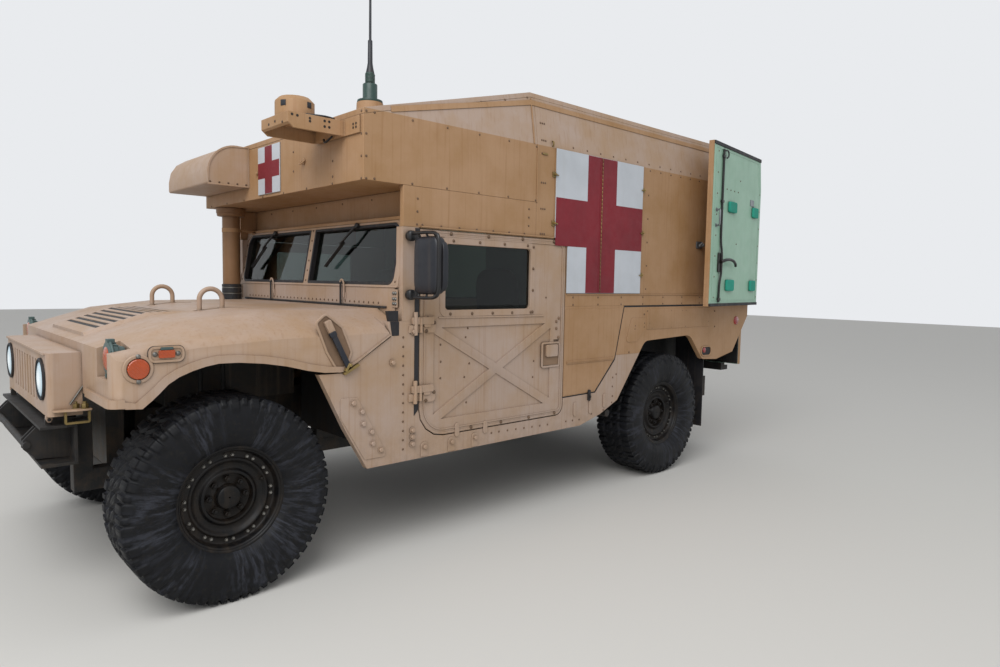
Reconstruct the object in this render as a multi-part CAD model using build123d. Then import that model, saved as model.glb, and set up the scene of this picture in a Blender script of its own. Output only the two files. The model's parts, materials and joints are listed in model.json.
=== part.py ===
"""Military ambulance truck: a four-wheel-drive cab and frame that carries a high medical box.

Units are millimetres, +Z is up, the front faces -Y and the truck's left side is +X.
While it is modelled, y is measured from the front axle. Each piece is moved once, as it is
written, so that the origin lies on the ground at the middle of the truck's box.
"""
from build123d import *
import os
from math import acos, atan2, cos, degrees, pi, sin, tan

os.makedirs("parts", exist_ok=True)

# Driving dimensions
WHEELBASE = 3302
TRACK = 1819
HALF_WIDTH = 1064
REAR_OVERHANG = 1228
ROOF_Z = 2594
SIDE_WALL = 40
BOX_WALL = 30
PANEL_GAP = 6
RUN_GAP = 0.3

REAR_AXLE = WHEELBASE
BODY_REAR = REAR_AXLE + REAR_OVERHANG
SIDE_IN = HALF_WIDTH - SIDE_WALL
BOX_IN = HALF_WIDTH - BOX_WALL
AXLES = (0, REAR_AXLE)


# Shaping functions

CORNER_FLATS = 4


def rounded(points, radii):
    """Outline whose corners follow arcs of the given radii in short flats."""
    path = []
    for i, (corner, radius) in enumerate(zip(points, radii)):
        if radius == 0:
            path.append(corner)
            continue
        corner = Vector(*corner)
        back = (Vector(*points[i - 1]) - corner).normalized()
        ahead = (Vector(*points[(i + 1) % len(points)]) - corner).normalized()
        half = acos(back.dot(ahead)) / 2
        centre = corner + (back + ahead).normalized() * (radius / sin(half))
        start = corner + back * (radius / tan(half)) - centre
        end = corner + ahead * (radius / tan(half)) - centre
        first = atan2(start.Y, start.X)
        sweep = (atan2(end.Y, end.X) - first + pi) % (2 * pi) - pi
        for k in range(CORNER_FLATS + 1):
            turn = first + sweep * k / CORNER_FLATS
            path.append((centre.X + radius * cos(turn), centre.Y + radius * sin(turn)))
    return path


def plate(points, radii, place, thick, way):
    """Flat outline, put in space by place and thickened along way, with a corner radius or a list of them."""
    if radii != 0:
        points = rounded(points, radii if isinstance(radii, list) else [radii] * len(points))
    face = make_face(Polyline(*[place(a, b) for a, b in points], close=True))
    return extrude(face, thick, dir=way)


def plate_x(points, x0, x1, radii=0):
    """Outline of (y, z) points, as thick as from x0 to x1."""
    return plate(points, radii, lambda y, z: (x0, y, z), x1 - x0, (1, 0, 0))


def plate_y(points, y0, y1, radii=0):
    """Outline of (x, z) points, as thick as from y0 to y1."""
    return plate(points, radii, lambda x, z: (x, y0, z), y1 - y0, (0, 1, 0))


def plate_z(points, z0, z1, radii=0):
    """Outline of (x, y) points, as thick as from z0 to z1."""
    return plate(points, radii, lambda x, y: (x, y, z0), z1 - z0, (0, 0, 1))


def block(x, y, z):
    """Box between the low and high ends of x, y and z."""
    size = [high - low for low, high in (x, y, z)]
    middle = [(high + low) / 2 for low, high in (x, y, z)]
    return Pos(*middle) * Box(*size)


def rod(start, end, radius, flats=0, inside=True):
    """Bar from start to end: round, or with flats whose corners lie on the radius, or outside it."""
    start, end = Vector(start), Vector(end)
    place = Plane(origin=start, z_dir=end - start)
    section = RegularPolygon(radius, flats, major_radius=inside) if flats else Circle(radius)
    return extrude(place * section, (end - start).length)


def flip(part):
    """The same piece on the truck's other side."""
    return mirror(part, about=Plane.YZ)


def both(part):
    """A left piece and its mirror image."""
    return [part, flip(part)]


def fuse_both(whole, part):
    """Whole joined with a left part and its mirror image."""
    return whole + part + flip(part)


def cut_both(whole, part):
    """Whole less a left part and its mirror image."""
    return whole - part - flip(part)


def ring_form(profile, flats):
    """Turned form about the X axis with flat sides, from a closed profile of (x, radius) points."""
    turns = [2 * pi * (i + 0.5) / flats for i in range(flats + 1)]
    spread = 1 / cos(pi / flats)
    faces = []
    for (x0, r0), (x1, r1) in zip(profile, profile[1:] + profile[:1]):
        if r0 == r1 == 0:
            continue
        for a, b in zip(turns, turns[1:]):
            corners = [(x0, r0, a), (x1, r1, a), (x1, r1, b), (x0, r0, b)]
            if r0 == 0:
                corners = corners[:3]
            if r1 == 0:
                corners = [corners[0], corners[1], corners[3]]
            points = [(x, r * spread * cos(t), r * spread * sin(t)) for x, r, t in corners]
            faces.append(Face(Wire.make_polygon(points)))
    return Solid(Shell(faces))


# Ends of the truck and the shift to its middle
BUMPER_FRONT = -640
TOW_TUBE_R = 15
TOW_TUBE_Y = BUMPER_FRONT - 35
REAR_DOOR_T = 45
REAR_DOOR_GAP = 8
REAR_PIN_R = 9
REAR_HINGE_ZS = (1400, 1800, 2180)
REAR_HINGE_H = 45
REAR_PIN_X = HALF_WIDTH + 8
REAR_PIN_Y = BODY_REAR + REAR_DOOR_GAP + REAR_DOOR_T
FRONT_END = TOW_TUBE_Y - TOW_TUBE_R
REAR_END = REAR_PIN_Y + REAR_PIN_R
SHIFT_Y = -(FRONT_END + REAR_END) / 2


def write(node, *solids):
    """Move a piece to the truck's own origin and write it."""
    moved = [Pos(0, SHIFT_Y, 0) * solid for solid in solids]
    shape = moved[0] if len(moved) == 1 else Compound(children=moved)
    export_step(shape, f"parts/{node}.step")


# Tyres: flat-sided rings, each flat one lug long, with staggered grooves through both shoulders
TYRE_R = 462
TYRE_W = 318
RIM_R = 232
LUGS = 20
LUG_DEPTH = 13
GROOVE_W = 26
SHOULDER_IN = 52
CROWN_HALF = 132
BEAD_HALF = 112
WHEEL_X = TRACK / 2
tyre_half = TYRE_W / 2
tyre_side = [
    # (x, radius) down one side of the tyre, from the tread's edge to the bead
    (CROWN_HALF, TYRE_R), (tyre_half - 9, TYRE_R - 37), (tyre_half, 330), (BEAD_HALF, RIM_R),
]
tyre = ring_form([(-x, r) for x, r in reversed(tyre_side)] + tyre_side, LUGS)
lug_pitch = 360 / LUGS
groove = block((SHOULDER_IN, TYRE_W), (-GROOVE_W / 2, GROOVE_W / 2), (TYRE_R - LUG_DEPTH, TYRE_R + 20))
grooves = []
for i in range(LUGS):
    grooves.append(Rot(X=(i + 0.5) * lug_pitch) * groove)
    grooves.append(Rot(X=i * lug_pitch) * flip(groove))
tyre -= grooves

# Wheels: rim, dished disc with its bolting ring and the hub that the spindle carries
FLANGE_R = RIM_R + 8
FLANGE_X = BEAD_HALF + 6
SPINDLE_R = 40
SPINDLE_END = 58
DISC_X = 44
DISC_BACK = 30
wheel_profile = [
    # (x, radius) of the wheel's section, outside first and round the back of the disc
    (-BEAD_HALF, RIM_R), (BEAD_HALF, RIM_R), (FLANGE_X, FLANGE_R), (FLANGE_X, RIM_R - 12),
    (DISC_X + 28, 200), (DISC_X + 34, 122), (DISC_X, 106), (DISC_X, 50), (DISC_X + 34, 50),
    (DISC_X + 34, 0), (SPINDLE_END + 1, 0), (SPINDLE_END + 1, SPINDLE_R + RUN_GAP),
    (DISC_BACK, SPINDLE_R + RUN_GAP), (DISC_BACK, 200), (-BEAD_HALF, RIM_R - 14),
]
wheel = ring_form(wheel_profile, LUGS)

corners = [
    # (name, side, y)
    ("front_left", 1, 0), ("front_right", -1, 0),
    ("rear_left", 1, REAR_AXLE), ("rear_right", -1, REAR_AXLE),
]
for name, side, y in corners:
    for node, form in (("tyre", tyre), ("wheel", wheel)):
        turned = form if side > 0 else flip(form)
        write(f"{node}_{name}", Pos(side * WHEEL_X, y, TYRE_R) * turned)

# Hubs: the front ones turn about the kingpin, the rear ones are fixed
KINGPIN_X = WHEEL_X - 139.5
HUB_HALF_Y = 75
HUB_LOW = 95
HUB_HIGH = 125
HUB_CASE_OUT = KINGPIN_X + 92
POST_R = 22
POST_FLATS = 8
LOWER_BALL_Z = 330
UPPER_BALL_Z = 602
HUB_CHAMFER = 30
hub_outline = [
    # (y, z) round the hub's case
    (-HUB_HALF_Y, TYRE_R - HUB_LOW + HUB_CHAMFER), (-HUB_HALF_Y + HUB_CHAMFER, TYRE_R - HUB_LOW),
    (HUB_HALF_Y - HUB_CHAMFER, TYRE_R - HUB_LOW), (HUB_HALF_Y, TYRE_R - HUB_LOW + HUB_CHAMFER),
    (HUB_HALF_Y, TYRE_R + HUB_HIGH - HUB_CHAMFER), (HUB_HALF_Y - HUB_CHAMFER, TYRE_R + HUB_HIGH),
    (-HUB_HALF_Y + HUB_CHAMFER, TYRE_R + HUB_HIGH), (-HUB_HALF_Y, TYRE_R + HUB_HIGH - HUB_CHAMFER),
]
hub = plate_x(hub_outline, KINGPIN_X - 8, HUB_CASE_OUT)
hub += rod((HUB_CASE_OUT, 0, TYRE_R), (WHEEL_X + SPINDLE_END, 0, TYRE_R), SPINDLE_R, POST_FLATS)
hub += rod((KINGPIN_X, 0, LOWER_BALL_Z + RUN_GAP), (KINGPIN_X, 0, UPPER_BALL_Z - RUN_GAP), POST_R, POST_FLATS)
STEER_ARM_Y = -170
steer_arm = block((KINGPIN_X - 15, KINGPIN_X + 15), (STEER_ARM_Y, 0), (400, 425))
knuckle = hub + steer_arm
write("knuckle_left", knuckle)
write("knuckle_right", flip(knuckle))
write("rear_hubs", *both(Pos(0, REAR_AXLE, 0) * hub))

# Frame: two rails with their pads, spring towers, arm brackets and engine mounts
RAIL_IN = 370
RAIL_OUT = 445
RAIL_LOW = 450
RAIL_TOP = 550
RAIL_FRONT = -500
BUMPER_T = 12
REAR_BUMPER_D = 90
RAIL_REAR = BODY_REAR - 130
FLOOR_LOW = 600
FLOOR_REAR_LOW = 768
SPRING_X = 560
SPRING_DY = 150
TOWER_Z = 750
TOWER_T = 15
ARM_PIVOT_X = RAIL_OUT + 10
UPPER_PIVOT_X = RAIL_OUT + 55
BUMPER_LOW = 610
BUMPER_TOP = 790
ENGINE_HALF_X = 290
ENGINE_LOW = 780
MOUNT_Y = 250
MOUNT_TOP = ENGINE_LOW + 60
PAD_HALF = 50
BULKHEAD_Y = 2131
WHEELHOUSE_FRONT = REAR_AXLE - 602
pads = [
    # (y, top) of each pad that the body stands on
    (760, FLOOR_LOW), (1500, FLOOR_LOW), (BULKHEAD_Y - 60, FLOOR_LOW), (BULKHEAD_Y + 170, FLOOR_REAR_LOW),
    (WHEELHOUSE_FRONT, FLOOR_REAR_LOW), (REAR_AXLE + 498, FLOOR_REAR_LOW), (BODY_REAR - 230, FLOOR_REAR_LOW),
]
rail = block((RAIL_IN, RAIL_OUT), (RAIL_FRONT, RAIL_REAR + REAR_BUMPER_D - BUMPER_T), (RAIL_LOW, RAIL_TOP))
rail += block((RAIL_IN, RAIL_OUT), (RAIL_FRONT, RAIL_FRONT + 80), (RAIL_TOP, BUMPER_TOP))
for pad_y, pad_top in pads:
    rail += block((RAIL_IN, RAIL_OUT), (pad_y - PAD_HALF, pad_y + PAD_HALF), (RAIL_TOP, pad_top))
rail += block((RAIL_IN, RAIL_OUT), (MOUNT_Y - 40, MOUNT_Y + 40), (RAIL_TOP, MOUNT_TOP))
rail += block((ENGINE_HALF_X, RAIL_OUT), (MOUNT_Y - 40, MOUNT_Y + 40), (MOUNT_TOP - 40, MOUNT_TOP))
for axle_y, fore in ((0, 1), (REAR_AXLE, -1)):
    spring_y = axle_y + fore * SPRING_DY
    rail += block((RAIL_IN, RAIL_OUT), (spring_y - 60, spring_y + 60), (RAIL_TOP, TOWER_Z + TOWER_T))
    rail += block((RAIL_IN, SPRING_X + 60), (spring_y - 60, spring_y + 60), (TOWER_Z, TOWER_Z + TOWER_T))
    for fork_y in (axle_y - 57, axle_y + 57):
        rail += block((RAIL_OUT, UPPER_PIVOT_X), (fork_y - 27, fork_y + 27), (RAIL_TOP - 20, 640))
    rail += block((RAIL_OUT, ARM_PIVOT_X), (axle_y - 210, axle_y + 210), (RAIL_LOW, RAIL_TOP - 25))
write("chassis_rails", *both(rail))

# Crossmembers between the rails
CROSS_TOP = 520
CROSS_HALF = 40
cross_places = [-300, -200, 200, 760, 1460, BULKHEAD_Y + 369, REAR_AXLE - 200, REAR_AXLE + 200, BODY_REAR - 230]
crossmembers = []
for cross_y in cross_places:
    crossmembers.append(block((-RAIL_IN, RAIL_IN), (cross_y - CROSS_HALF, cross_y + CROSS_HALF),
                              (RAIL_LOW + 10, CROSS_TOP)))
write("crossmembers", *crossmembers)

# Suspension arms: an A-shaped plate that slopes from the frame to a flat boss at the ball joint
BOSS_R = 32
BUSH_R = 14
BUSH_LENGTH = 45


ARM_FLATS = 6


def a_arm(inner, outer, half_in, thick, boss_low, boss_high):
    """A-arm from inner (x, z) to outer (x, z), half_in wide at the frame."""
    (xi, zi), (xo, zo) = inner, outer
    length = ((xo - xi) ** 2 + (zo - zi) ** 2) ** 0.5
    tilt = degrees(atan2(zi - zo, xo - xi))
    shape = [(0, -half_in), (length - BOSS_R, -28), (length - BOSS_R, 28), (0, half_in)]
    hole = [(-1, -half_in + BUSH_LENGTH), (length * 0.72, -8), (length * 0.72, 8), (-1, half_in - BUSH_LENGTH)]
    arm = plate_z(shape, -thick / 2, thick / 2) - plate_z(hole, -thick, thick)
    for y0 in (-half_in, half_in - BUSH_LENGTH):
        arm += rod((0, y0, 0), (0, y0 + BUSH_LENGTH, 0), BUSH_R, ARM_FLATS)
    arm = Pos(xi, 0, zi) * Rot(Y=tilt) * arm
    arm += rod((xo, 0, boss_low), (xo, 0, boss_high), BOSS_R, ARM_FLATS)
    return arm


LOWER_PIVOT_Z = 475
SPRING_SEAT_Z = 478
SEAT_R = 50
bush_reach = BUSH_R + RUN_GAP
lower_arm = a_arm((ARM_PIVOT_X + bush_reach, LOWER_PIVOT_Z), (KINGPIN_X, LOWER_BALL_Z - 15), 205, 20,
                  LOWER_BALL_Z - 34, LOWER_BALL_Z)
lower_arm += rod((SPRING_X, SPRING_DY, 430), (SPRING_X, SPRING_DY, SPRING_SEAT_Z), SEAT_R, ARM_FLATS)
upper_arm = a_arm((UPPER_PIVOT_X + bush_reach, 618), (KINGPIN_X, UPPER_BALL_Z + 12), 80, 20,
                  UPPER_BALL_Z, UPPER_BALL_Z + 26)
arms = []
for axle_y, fore in ((0, 1), (REAR_AXLE, -1)):
    for arm in (lower_arm, upper_arm):
        turned = arm if fore > 0 else mirror(arm, about=Plane.XZ)
        arms += both(Pos(0, axle_y, 0) * turned)
write("suspension_arms", *arms)

# Spring struts: the coil's turns stand out round the damper
COILS = 4
COIL_R = 52
COIL_GROOVE_R = 38
coil_pitch = (TOWER_Z - SPRING_SEAT_Z) / COILS
strut_profile = [(0, 0), (0, COIL_GROOVE_R)]
for i in range(COILS):
    strut_profile.append(((i + 0.5) * coil_pitch, COIL_R))
    strut_profile.append(((i + 1) * coil_pitch, COIL_GROOVE_R))
strut_profile.append((COILS * coil_pitch, 0))
strut = Pos(SPRING_X, 0, SPRING_SEAT_Z) * Rot(Y=-90) * ring_form(strut_profile, ARM_FLATS)
struts = []
for axle_y, fore in ((0, 1), (REAR_AXLE, -1)):
    struts += both(Pos(0, axle_y + fore * SPRING_DY, 0) * strut)
write("spring_struts", *struts)

# Engine: one plain block with its sump
ENGINE_FRONT = -60
ENGINE_REAR = 650
ENGINE_TOP = 1130
SUMP_HALF = 165
SUMP_LOW = 640
engine = block((-ENGINE_HALF_X, ENGINE_HALF_X), (ENGINE_FRONT, ENGINE_REAR), (ENGINE_LOW, ENGINE_TOP))
engine += block((-SUMP_HALF, SUMP_HALF), (MOUNT_Y, ENGINE_REAR), (SUMP_LOW, ENGINE_LOW))
write("engine", engine)

# Radiator on its crossmember
RADIATOR_HALF = 330
radiator_y = cross_places[0]
radiator = block((-RADIATOR_HALF, RADIATOR_HALF), (radiator_y - CROSS_HALF, radiator_y + CROSS_HALF),
                 (CROSS_TOP, 1110))
write("radiator", radiator)

# Driveline: gearbox, transfer case, shafts, the two differentials and their half-shafts
DIFF_Z = 640
DIFF_HALF_X = 130
DIFF_HALF_Y = 160
SHAFT_R = 28
SHAFT_FLATS = 10
FRONT_SHAFT_X = -210
GEARBOX_REAR = 1300
TRANSFER_REAR = 1620
driveline = block((-150, 150), (ENGINE_REAR, GEARBOX_REAR), (610, 800))
driveline += block((-250, 150), (GEARBOX_REAR, TRANSFER_REAR), (CROSS_TOP, 760))
driveline += rod((0, TRANSFER_REAR, 620), (0, REAR_AXLE - DIFF_HALF_Y, DIFF_Z), SHAFT_R, SHAFT_FLATS)
driveline += rod((FRONT_SHAFT_X, GEARBOX_REAR, 620), (FRONT_SHAFT_X, DIFF_HALF_Y - 10, 620), SHAFT_R, SHAFT_FLATS)
axle_shafts = [
    # (axle y, outer x of the case on the right, where the half-shafts end)
    (0, -DIFF_HALF_X - 120, KINGPIN_X - 32), (REAR_AXLE, -DIFF_HALF_X, KINGPIN_X - POST_R - 8),
]
for axle_y, low_x, end_x in axle_shafts:
    driveline += block((low_x, DIFF_HALF_X), (axle_y - DIFF_HALF_Y, axle_y + DIFF_HALF_Y),
                       (RAIL_LOW + 40, DIFF_Z + 110))
    for side in (1, -1):
        driveline += rod((side * end_x, axle_y, 564), (side * 100, axle_y, DIFF_Z), 22, 8)
write("driveline", driveline)

# Front bumper: deep channel, tow ears, the tube between them and the hood's hinge pins
GRILLE_HALF = 560
BUMPER_HALF = GRILLE_HALF
HOOD_PIN_X = GRILLE_HALF - 80
HOOD_PIN_Y = -600
HOOD_PIN_Z = 815
HOOD_PIN_R = 7
HOOD_LUG_T = 25
TOW_X = GRILLE_HALF - 145
TOW_Z = 700
EAR_T = 12
channel_back = RAIL_FRONT - BUMPER_T
bumper = block((-BUMPER_HALF, BUMPER_HALF), (BUMPER_FRONT, RAIL_FRONT), (BUMPER_LOW, BUMPER_TOP))
bumper -= block((-BUMPER_HALF, BUMPER_HALF), (BUMPER_FRONT - 1, channel_back),
                (BUMPER_LOW + BUMPER_T, BUMPER_TOP - BUMPER_T))
ear_outline = [
    # (y, z) of a tow ear
    (channel_back, BUMPER_LOW + BUMPER_T), (BUMPER_FRONT, TOW_Z - 70), (TOW_TUBE_Y - EAR_T, TOW_Z - 20),
    (TOW_TUBE_Y - EAR_T, TOW_Z + 20), (BUMPER_FRONT, TOW_Z + 70), (channel_back, TOW_Z + 70),
]
for x in (TOW_X - 30, TOW_X + 18):
    bumper = fuse_both(bumper, plate_x(ear_outline, x, x + EAR_T))
pin_post = plate_x([(HOOD_PIN_Y - 12, BUMPER_TOP), (HOOD_PIN_Y + 12, BUMPER_TOP), (HOOD_PIN_Y + 12, HOOD_PIN_Z),
                    (HOOD_PIN_Y + 4, HOOD_PIN_Z + 10), (HOOD_PIN_Y - 4, HOOD_PIN_Z + 10),
                    (HOOD_PIN_Y - 12, HOOD_PIN_Z)], HOOD_PIN_X, HOOD_PIN_X + 20)
pin_post += rod((HOOD_PIN_X, HOOD_PIN_Y, HOOD_PIN_Z), (HOOD_PIN_X + 50, HOOD_PIN_Y, HOOD_PIN_Z), HOOD_PIN_R, 10)
bumper = fuse_both(bumper, pin_post)
bumper += rod((-TOW_X - 45, TOW_TUBE_Y, TOW_Z), (TOW_X + 45, TOW_TUBE_Y, TOW_Z), TOW_TUBE_R, 12)
write("front_bumper", bumper)

# Hood: one moulded shell with fenders, raised louvre bank, lamp pockets, flare lips and loop slots

def eased(points):
    """The same line with each corner between its ends cut at a quarter of its legs."""
    path = [points[0]]
    for (y0, z0), (y1, z1), (y2, z2) in zip(points, points[1:], points[2:]):
        path.append((y1 + (y0 - y1) / 4, z1 + (z0 - z1) / 4))
        path.append((y1 + (y2 - y1) / 4, z1 + (z2 - z1) / 4))
    return path + [points[-1]]


HOOD_T = 12
HOOD_FRONT = -478
HOOD_REAR = 862
HOOD_SKIRT_Z = 1250
HOOD_CEILING = 1400
CREASE_X = HALF_WIDTH - 214
SHOULDER_IN_X = 26
SHOULDER_UP = 34
NOSE_CORNER_R = 45
hood_sections = [
    # (y, top at the crease, shoulder at the side)
    (HOOD_FRONT, 1148, 1104), (-150, 1251, 1150), (200, 1290, 1170), (HOOD_REAR, 1296, 1180),
]
arch_line = [
    # (y, z) along the wheel arch, from the front lip to the cowl side
    (HOOD_FRONT, 926), (-371, 917), (-322, 957), (-256, 1024), (-150, 1066), (-40, 1084), (184, 1060),
    (395, 1003), (525, 997), (606, 1040), (801, 1165), (784, 1210),
]
arch_line = arch_line[:1] + eased(arch_line[1:9]) + arch_line[9:]
hood_side = arch_line + [(784, HOOD_SKIRT_Z), (HOOD_REAR, HOOD_SKIRT_Z), (HOOD_REAR, HOOD_CEILING),
                         (HOOD_FRONT, HOOD_CEILING)]
ARCH_Z = 800


def hood_top(y):
    """Height of the hood's crease at y."""
    for (y0, z0, _), (y1, z1, _) in zip(hood_sections, hood_sections[1:]):
        if y <= y1:
            return z0 + (z1 - z0) * (y - y0) / (y1 - y0)
    return hood_sections[-1][1]


def hood_form(inset, front, rear, low):
    """Loft of the hood's cross-sections, smaller by inset."""
    faces = []
    first, last = hood_sections[0][0], hood_sections[-1][0]
    for y, top, shoulder in hood_sections:
        y = front if y == first else rear if y == last else y
        half = HALF_WIDTH - inset
        right = [(half, low), (half, shoulder - inset), (half - SHOULDER_IN_X, shoulder + SHOULDER_UP - inset),
                 (CREASE_X, top - inset)]
        points = right + [(-x, z) for x, z in reversed(right)]
        faces.append(make_face(Polyline(*[(x, y, z) for x, z in points], close=True)))
    plan = plate_z([(half, rear), (half, front), (-half, front), (-half, rear)], low, HOOD_CEILING,
                   [0, NOSE_CORNER_R - inset, NOSE_CORNER_R - inset, 0])
    return loft(faces, ruled=True) & plan


POCKET_X = (HALF_WIDTH - 224, HALF_WIDTH - 62)
POCKET_REAR = -392
POCKET_LOW = 1030
pocket = block(POCKET_X, (HOOD_FRONT - 20, POCKET_REAR), (POCKET_LOW, HOOD_CEILING))
pocket_wall = block((POCKET_X[0] - HOOD_T, POCKET_X[1] + HOOD_T), (HOOD_FRONT, POCKET_REAR + HOOD_T),
                    (POCKET_LOW - HOOD_T, HOOD_CEILING))
hood_inside = cut_both(hood_form(HOOD_T, HOOD_FRONT + HOOD_T, HOOD_REAR + 20, ARCH_Z - 20), pocket_wall)
hood = hood_form(0, HOOD_FRONT, HOOD_REAR, ARCH_Z) & plate_x(hood_side, -HALF_WIDTH, HALF_WIDTH)
hood = cut_both(hood, pocket) - hood_inside
BANK_HALF = 375
BANK_RISE = 16
BANK_BEVEL = 22
BANK_ENDS = (-430, -150, 30)
bank_faces = []
for y in BANK_ENDS:
    z = hood_top(y)
    rise = BANK_RISE if y != BANK_ENDS[-1] else 2
    bank_faces.append(make_face(Polyline((-BANK_HALF, y, z - 5), (BANK_HALF, y, z - 5), (BANK_HALF, y, z),
                                         (BANK_HALF - BANK_BEVEL, y, z + rise),
                                         (-BANK_HALF + BANK_BEVEL, y, z + rise), (-BANK_HALF, y, z), close=True)))
hood += loft(bank_faces, ruled=True)
LIP_W = 34
LIP_T = 8
lip_centre = (40, TYRE_R)
lip_outer = []
for y, z in arch_line:
    reach = ((y - lip_centre[0]) ** 2 + (z - lip_centre[1]) ** 2) ** 0.5
    grow = 1 + LIP_W / reach
    lip_outer.append((lip_centre[0] + (y - lip_centre[0]) * grow, lip_centre[1] + (z - lip_centre[1]) * grow))
lip_outer[0] = (HOOD_FRONT, arch_line[0][1] + LIP_W)
lip = plate_x(arch_line[:-1] + lip_outer[-2::-1], HALF_WIDTH - 2, HALF_WIDTH + LIP_T)
lip &= plate_x(hood_side, HALF_WIDTH - 2, HALF_WIDTH + LIP_T)
lip &= block((0, HALF_WIDTH + LIP_T), (HOOD_FRONT + NOSE_CORNER_R, HOOD_REAR), (ARCH_Z, HOOD_CEILING))
CHIN_IN = 640
CHIN_OUT = 14
CHIN_TOP = arch_line[0][1] + LIP_W
chin_side = HALF_WIDTH + LIP_T
chin_plan = [
    # (x, y) of the chin: out from the front, round the corner and back along the lip
    (CHIN_IN, HOOD_FRONT + 2), (CHIN_IN + 30, HOOD_FRONT - CHIN_OUT), (chin_side, HOOD_FRONT - CHIN_OUT),
    (chin_side, HOOD_FRONT + NOSE_CORNER_R), (HALF_WIDTH - 2, HOOD_FRONT + NOSE_CORNER_R),
    (HALF_WIDTH - 2 - NOSE_CORNER_R, HOOD_FRONT + 2),
]
lip += plate_z(chin_plan, arch_line[0][1], CHIN_TOP, [0, 0, NOSE_CORNER_R, 0, 0, 0])
hood = fuse_both(hood, lip)
GRILLE_TOP = 1108
hood -= block((-GRILLE_HALF + 30, GRILLE_HALF - 30), (HOOD_FRONT - 12, HOOD_FRONT + 38), (ARCH_Z, GRILLE_TOP - 14))
LOOP_X = 400
LOOP_FRONT = 70
LOOP_REAR = 210
LOOP_BAR = 24
SLOT_HALF = LOOP_BAR / 2 + 13
loop_slot = block((LOOP_X - SLOT_HALF, LOOP_X + SLOT_HALF), (LOOP_FRONT - 15, LOOP_REAR + 100),
                  (HOOD_SKIRT_Z - 50, HOOD_CEILING))
hood = cut_both(hood, loop_slot)
DUCT_X = -(HALF_WIDTH - 159)
DUCT_Y = 755
BOOT_R = 80
hood -= block((DUCT_X - BOOT_R - 8, DUCT_X + BOOT_R + 8), (DUCT_Y - BOOT_R - 8, HOOD_REAR + 20),
              (HOOD_SKIRT_Z - 150, HOOD_CEILING))
SLATS = 9
SLAT_FRONT = -372
SLAT_PITCH = 40
SLAT_GAP = 22
for i in range(SLATS):
    y = SLAT_FRONT + i * SLAT_PITCH
    hood -= block((-BANK_HALF + 45, BANK_HALF - 45), (y, y + SLAT_GAP), (HOOD_SKIRT_Z - 150, HOOD_CEILING))
write("hood", hood)

# Grille: a hollow front housing with upright slots, round lamp holes, a top lip and two hinge lugs
GRILLE_FRONT = -610
GRILLE_LOW = 830
GRILLE_T = 12
GRILLE_SLOT_END = 45
LAMP_X = GRILLE_HALF - 120
LAMP_Z = 985
LAMP_R = 95
SLOTS = 9
SLOT_W = 34
SLOT_PITCH = 76
GRILLE_R = 24


def grille_plan(inset, rear):
    """Plan of the housing, smaller by inset, with its two rounded front edges."""
    half = GRILLE_HALF - inset
    return [(half, rear), (half, GRILLE_FRONT + inset), (-half, GRILLE_FRONT + inset), (-half, rear)]


edge_radii = [0, GRILLE_R, GRILLE_R, 0]
hollow_radii = [0, GRILLE_R - GRILLE_T, GRILLE_R - GRILLE_T, 0]
grille = plate_z(grille_plan(0, HOOD_FRONT), GRILLE_LOW, GRILLE_TOP, edge_radii)
grille += block((-GRILLE_HALF + GRILLE_R, GRILLE_HALF - GRILLE_R), (GRILLE_FRONT - 8, GRILLE_FRONT + 1),
                (GRILLE_TOP - 10, GRILLE_TOP))
grille -= plate_z(grille_plan(GRILLE_T, HOOD_FRONT + 1), GRILLE_LOW + GRILLE_T, GRILLE_TOP - GRILLE_T, hollow_radii)
for i in range(SLOTS):
    x = (i - (SLOTS - 1) / 2) * SLOT_PITCH
    if abs(x) < LAMP_X - LAMP_R - SLOT_W / 2:
        grille -= block((x - SLOT_W / 2, x + SLOT_W / 2), (GRILLE_FRONT - 1, GRILLE_FRONT + GRILLE_T + 1),
                        (GRILLE_LOW + GRILLE_SLOT_END, GRILLE_TOP - GRILLE_SLOT_END))
LAMP_FLATS = 16
lamp_hole = rod((LAMP_X, GRILLE_FRONT - 1, LAMP_Z), (LAMP_X, GRILLE_FRONT + GRILLE_T + 1, LAMP_Z), LAMP_R,
                LAMP_FLATS)
grille = cut_both(grille, lamp_hole)
lug_x = HOOD_PIN_X + 23
hinge_lug = plate_x([(HOOD_PIN_Y - 12, GRILLE_LOW), (HOOD_PIN_Y - 12, HOOD_PIN_Z), (HOOD_PIN_Y - 5, HOOD_PIN_Z - 12),
                     (HOOD_PIN_Y + 5, HOOD_PIN_Z - 12), (HOOD_PIN_Y + 12, HOOD_PIN_Z), (HOOD_PIN_Y + 12, GRILLE_LOW)],
                    lug_x, lug_x + HOOD_LUG_T)
hinge_lug -= rod((lug_x - 1, HOOD_PIN_Y, HOOD_PIN_Z), (lug_x + HOOD_LUG_T + 3, HOOD_PIN_Y, HOOD_PIN_Z),
                 HOOD_PIN_R + RUN_GAP, 10, inside=False)
grille = fuse_both(grille, hinge_lug)
write("grille", grille)

# Headlights: sealed lamps in the grille's round holes
lens_front = GRILLE_FRONT - 14
headlight = rod((LAMP_X, GRILLE_FRONT - 4, LAMP_Z), (LAMP_X, GRILLE_FRONT + 60, LAMP_Z), LAMP_R, LAMP_FLATS)
headlight += rod((LAMP_X, lens_front, LAMP_Z), (LAMP_X, GRILLE_FRONT, LAMP_Z), LAMP_R - 9, LAMP_FLATS)
write("headlights", *both(headlight))

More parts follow.
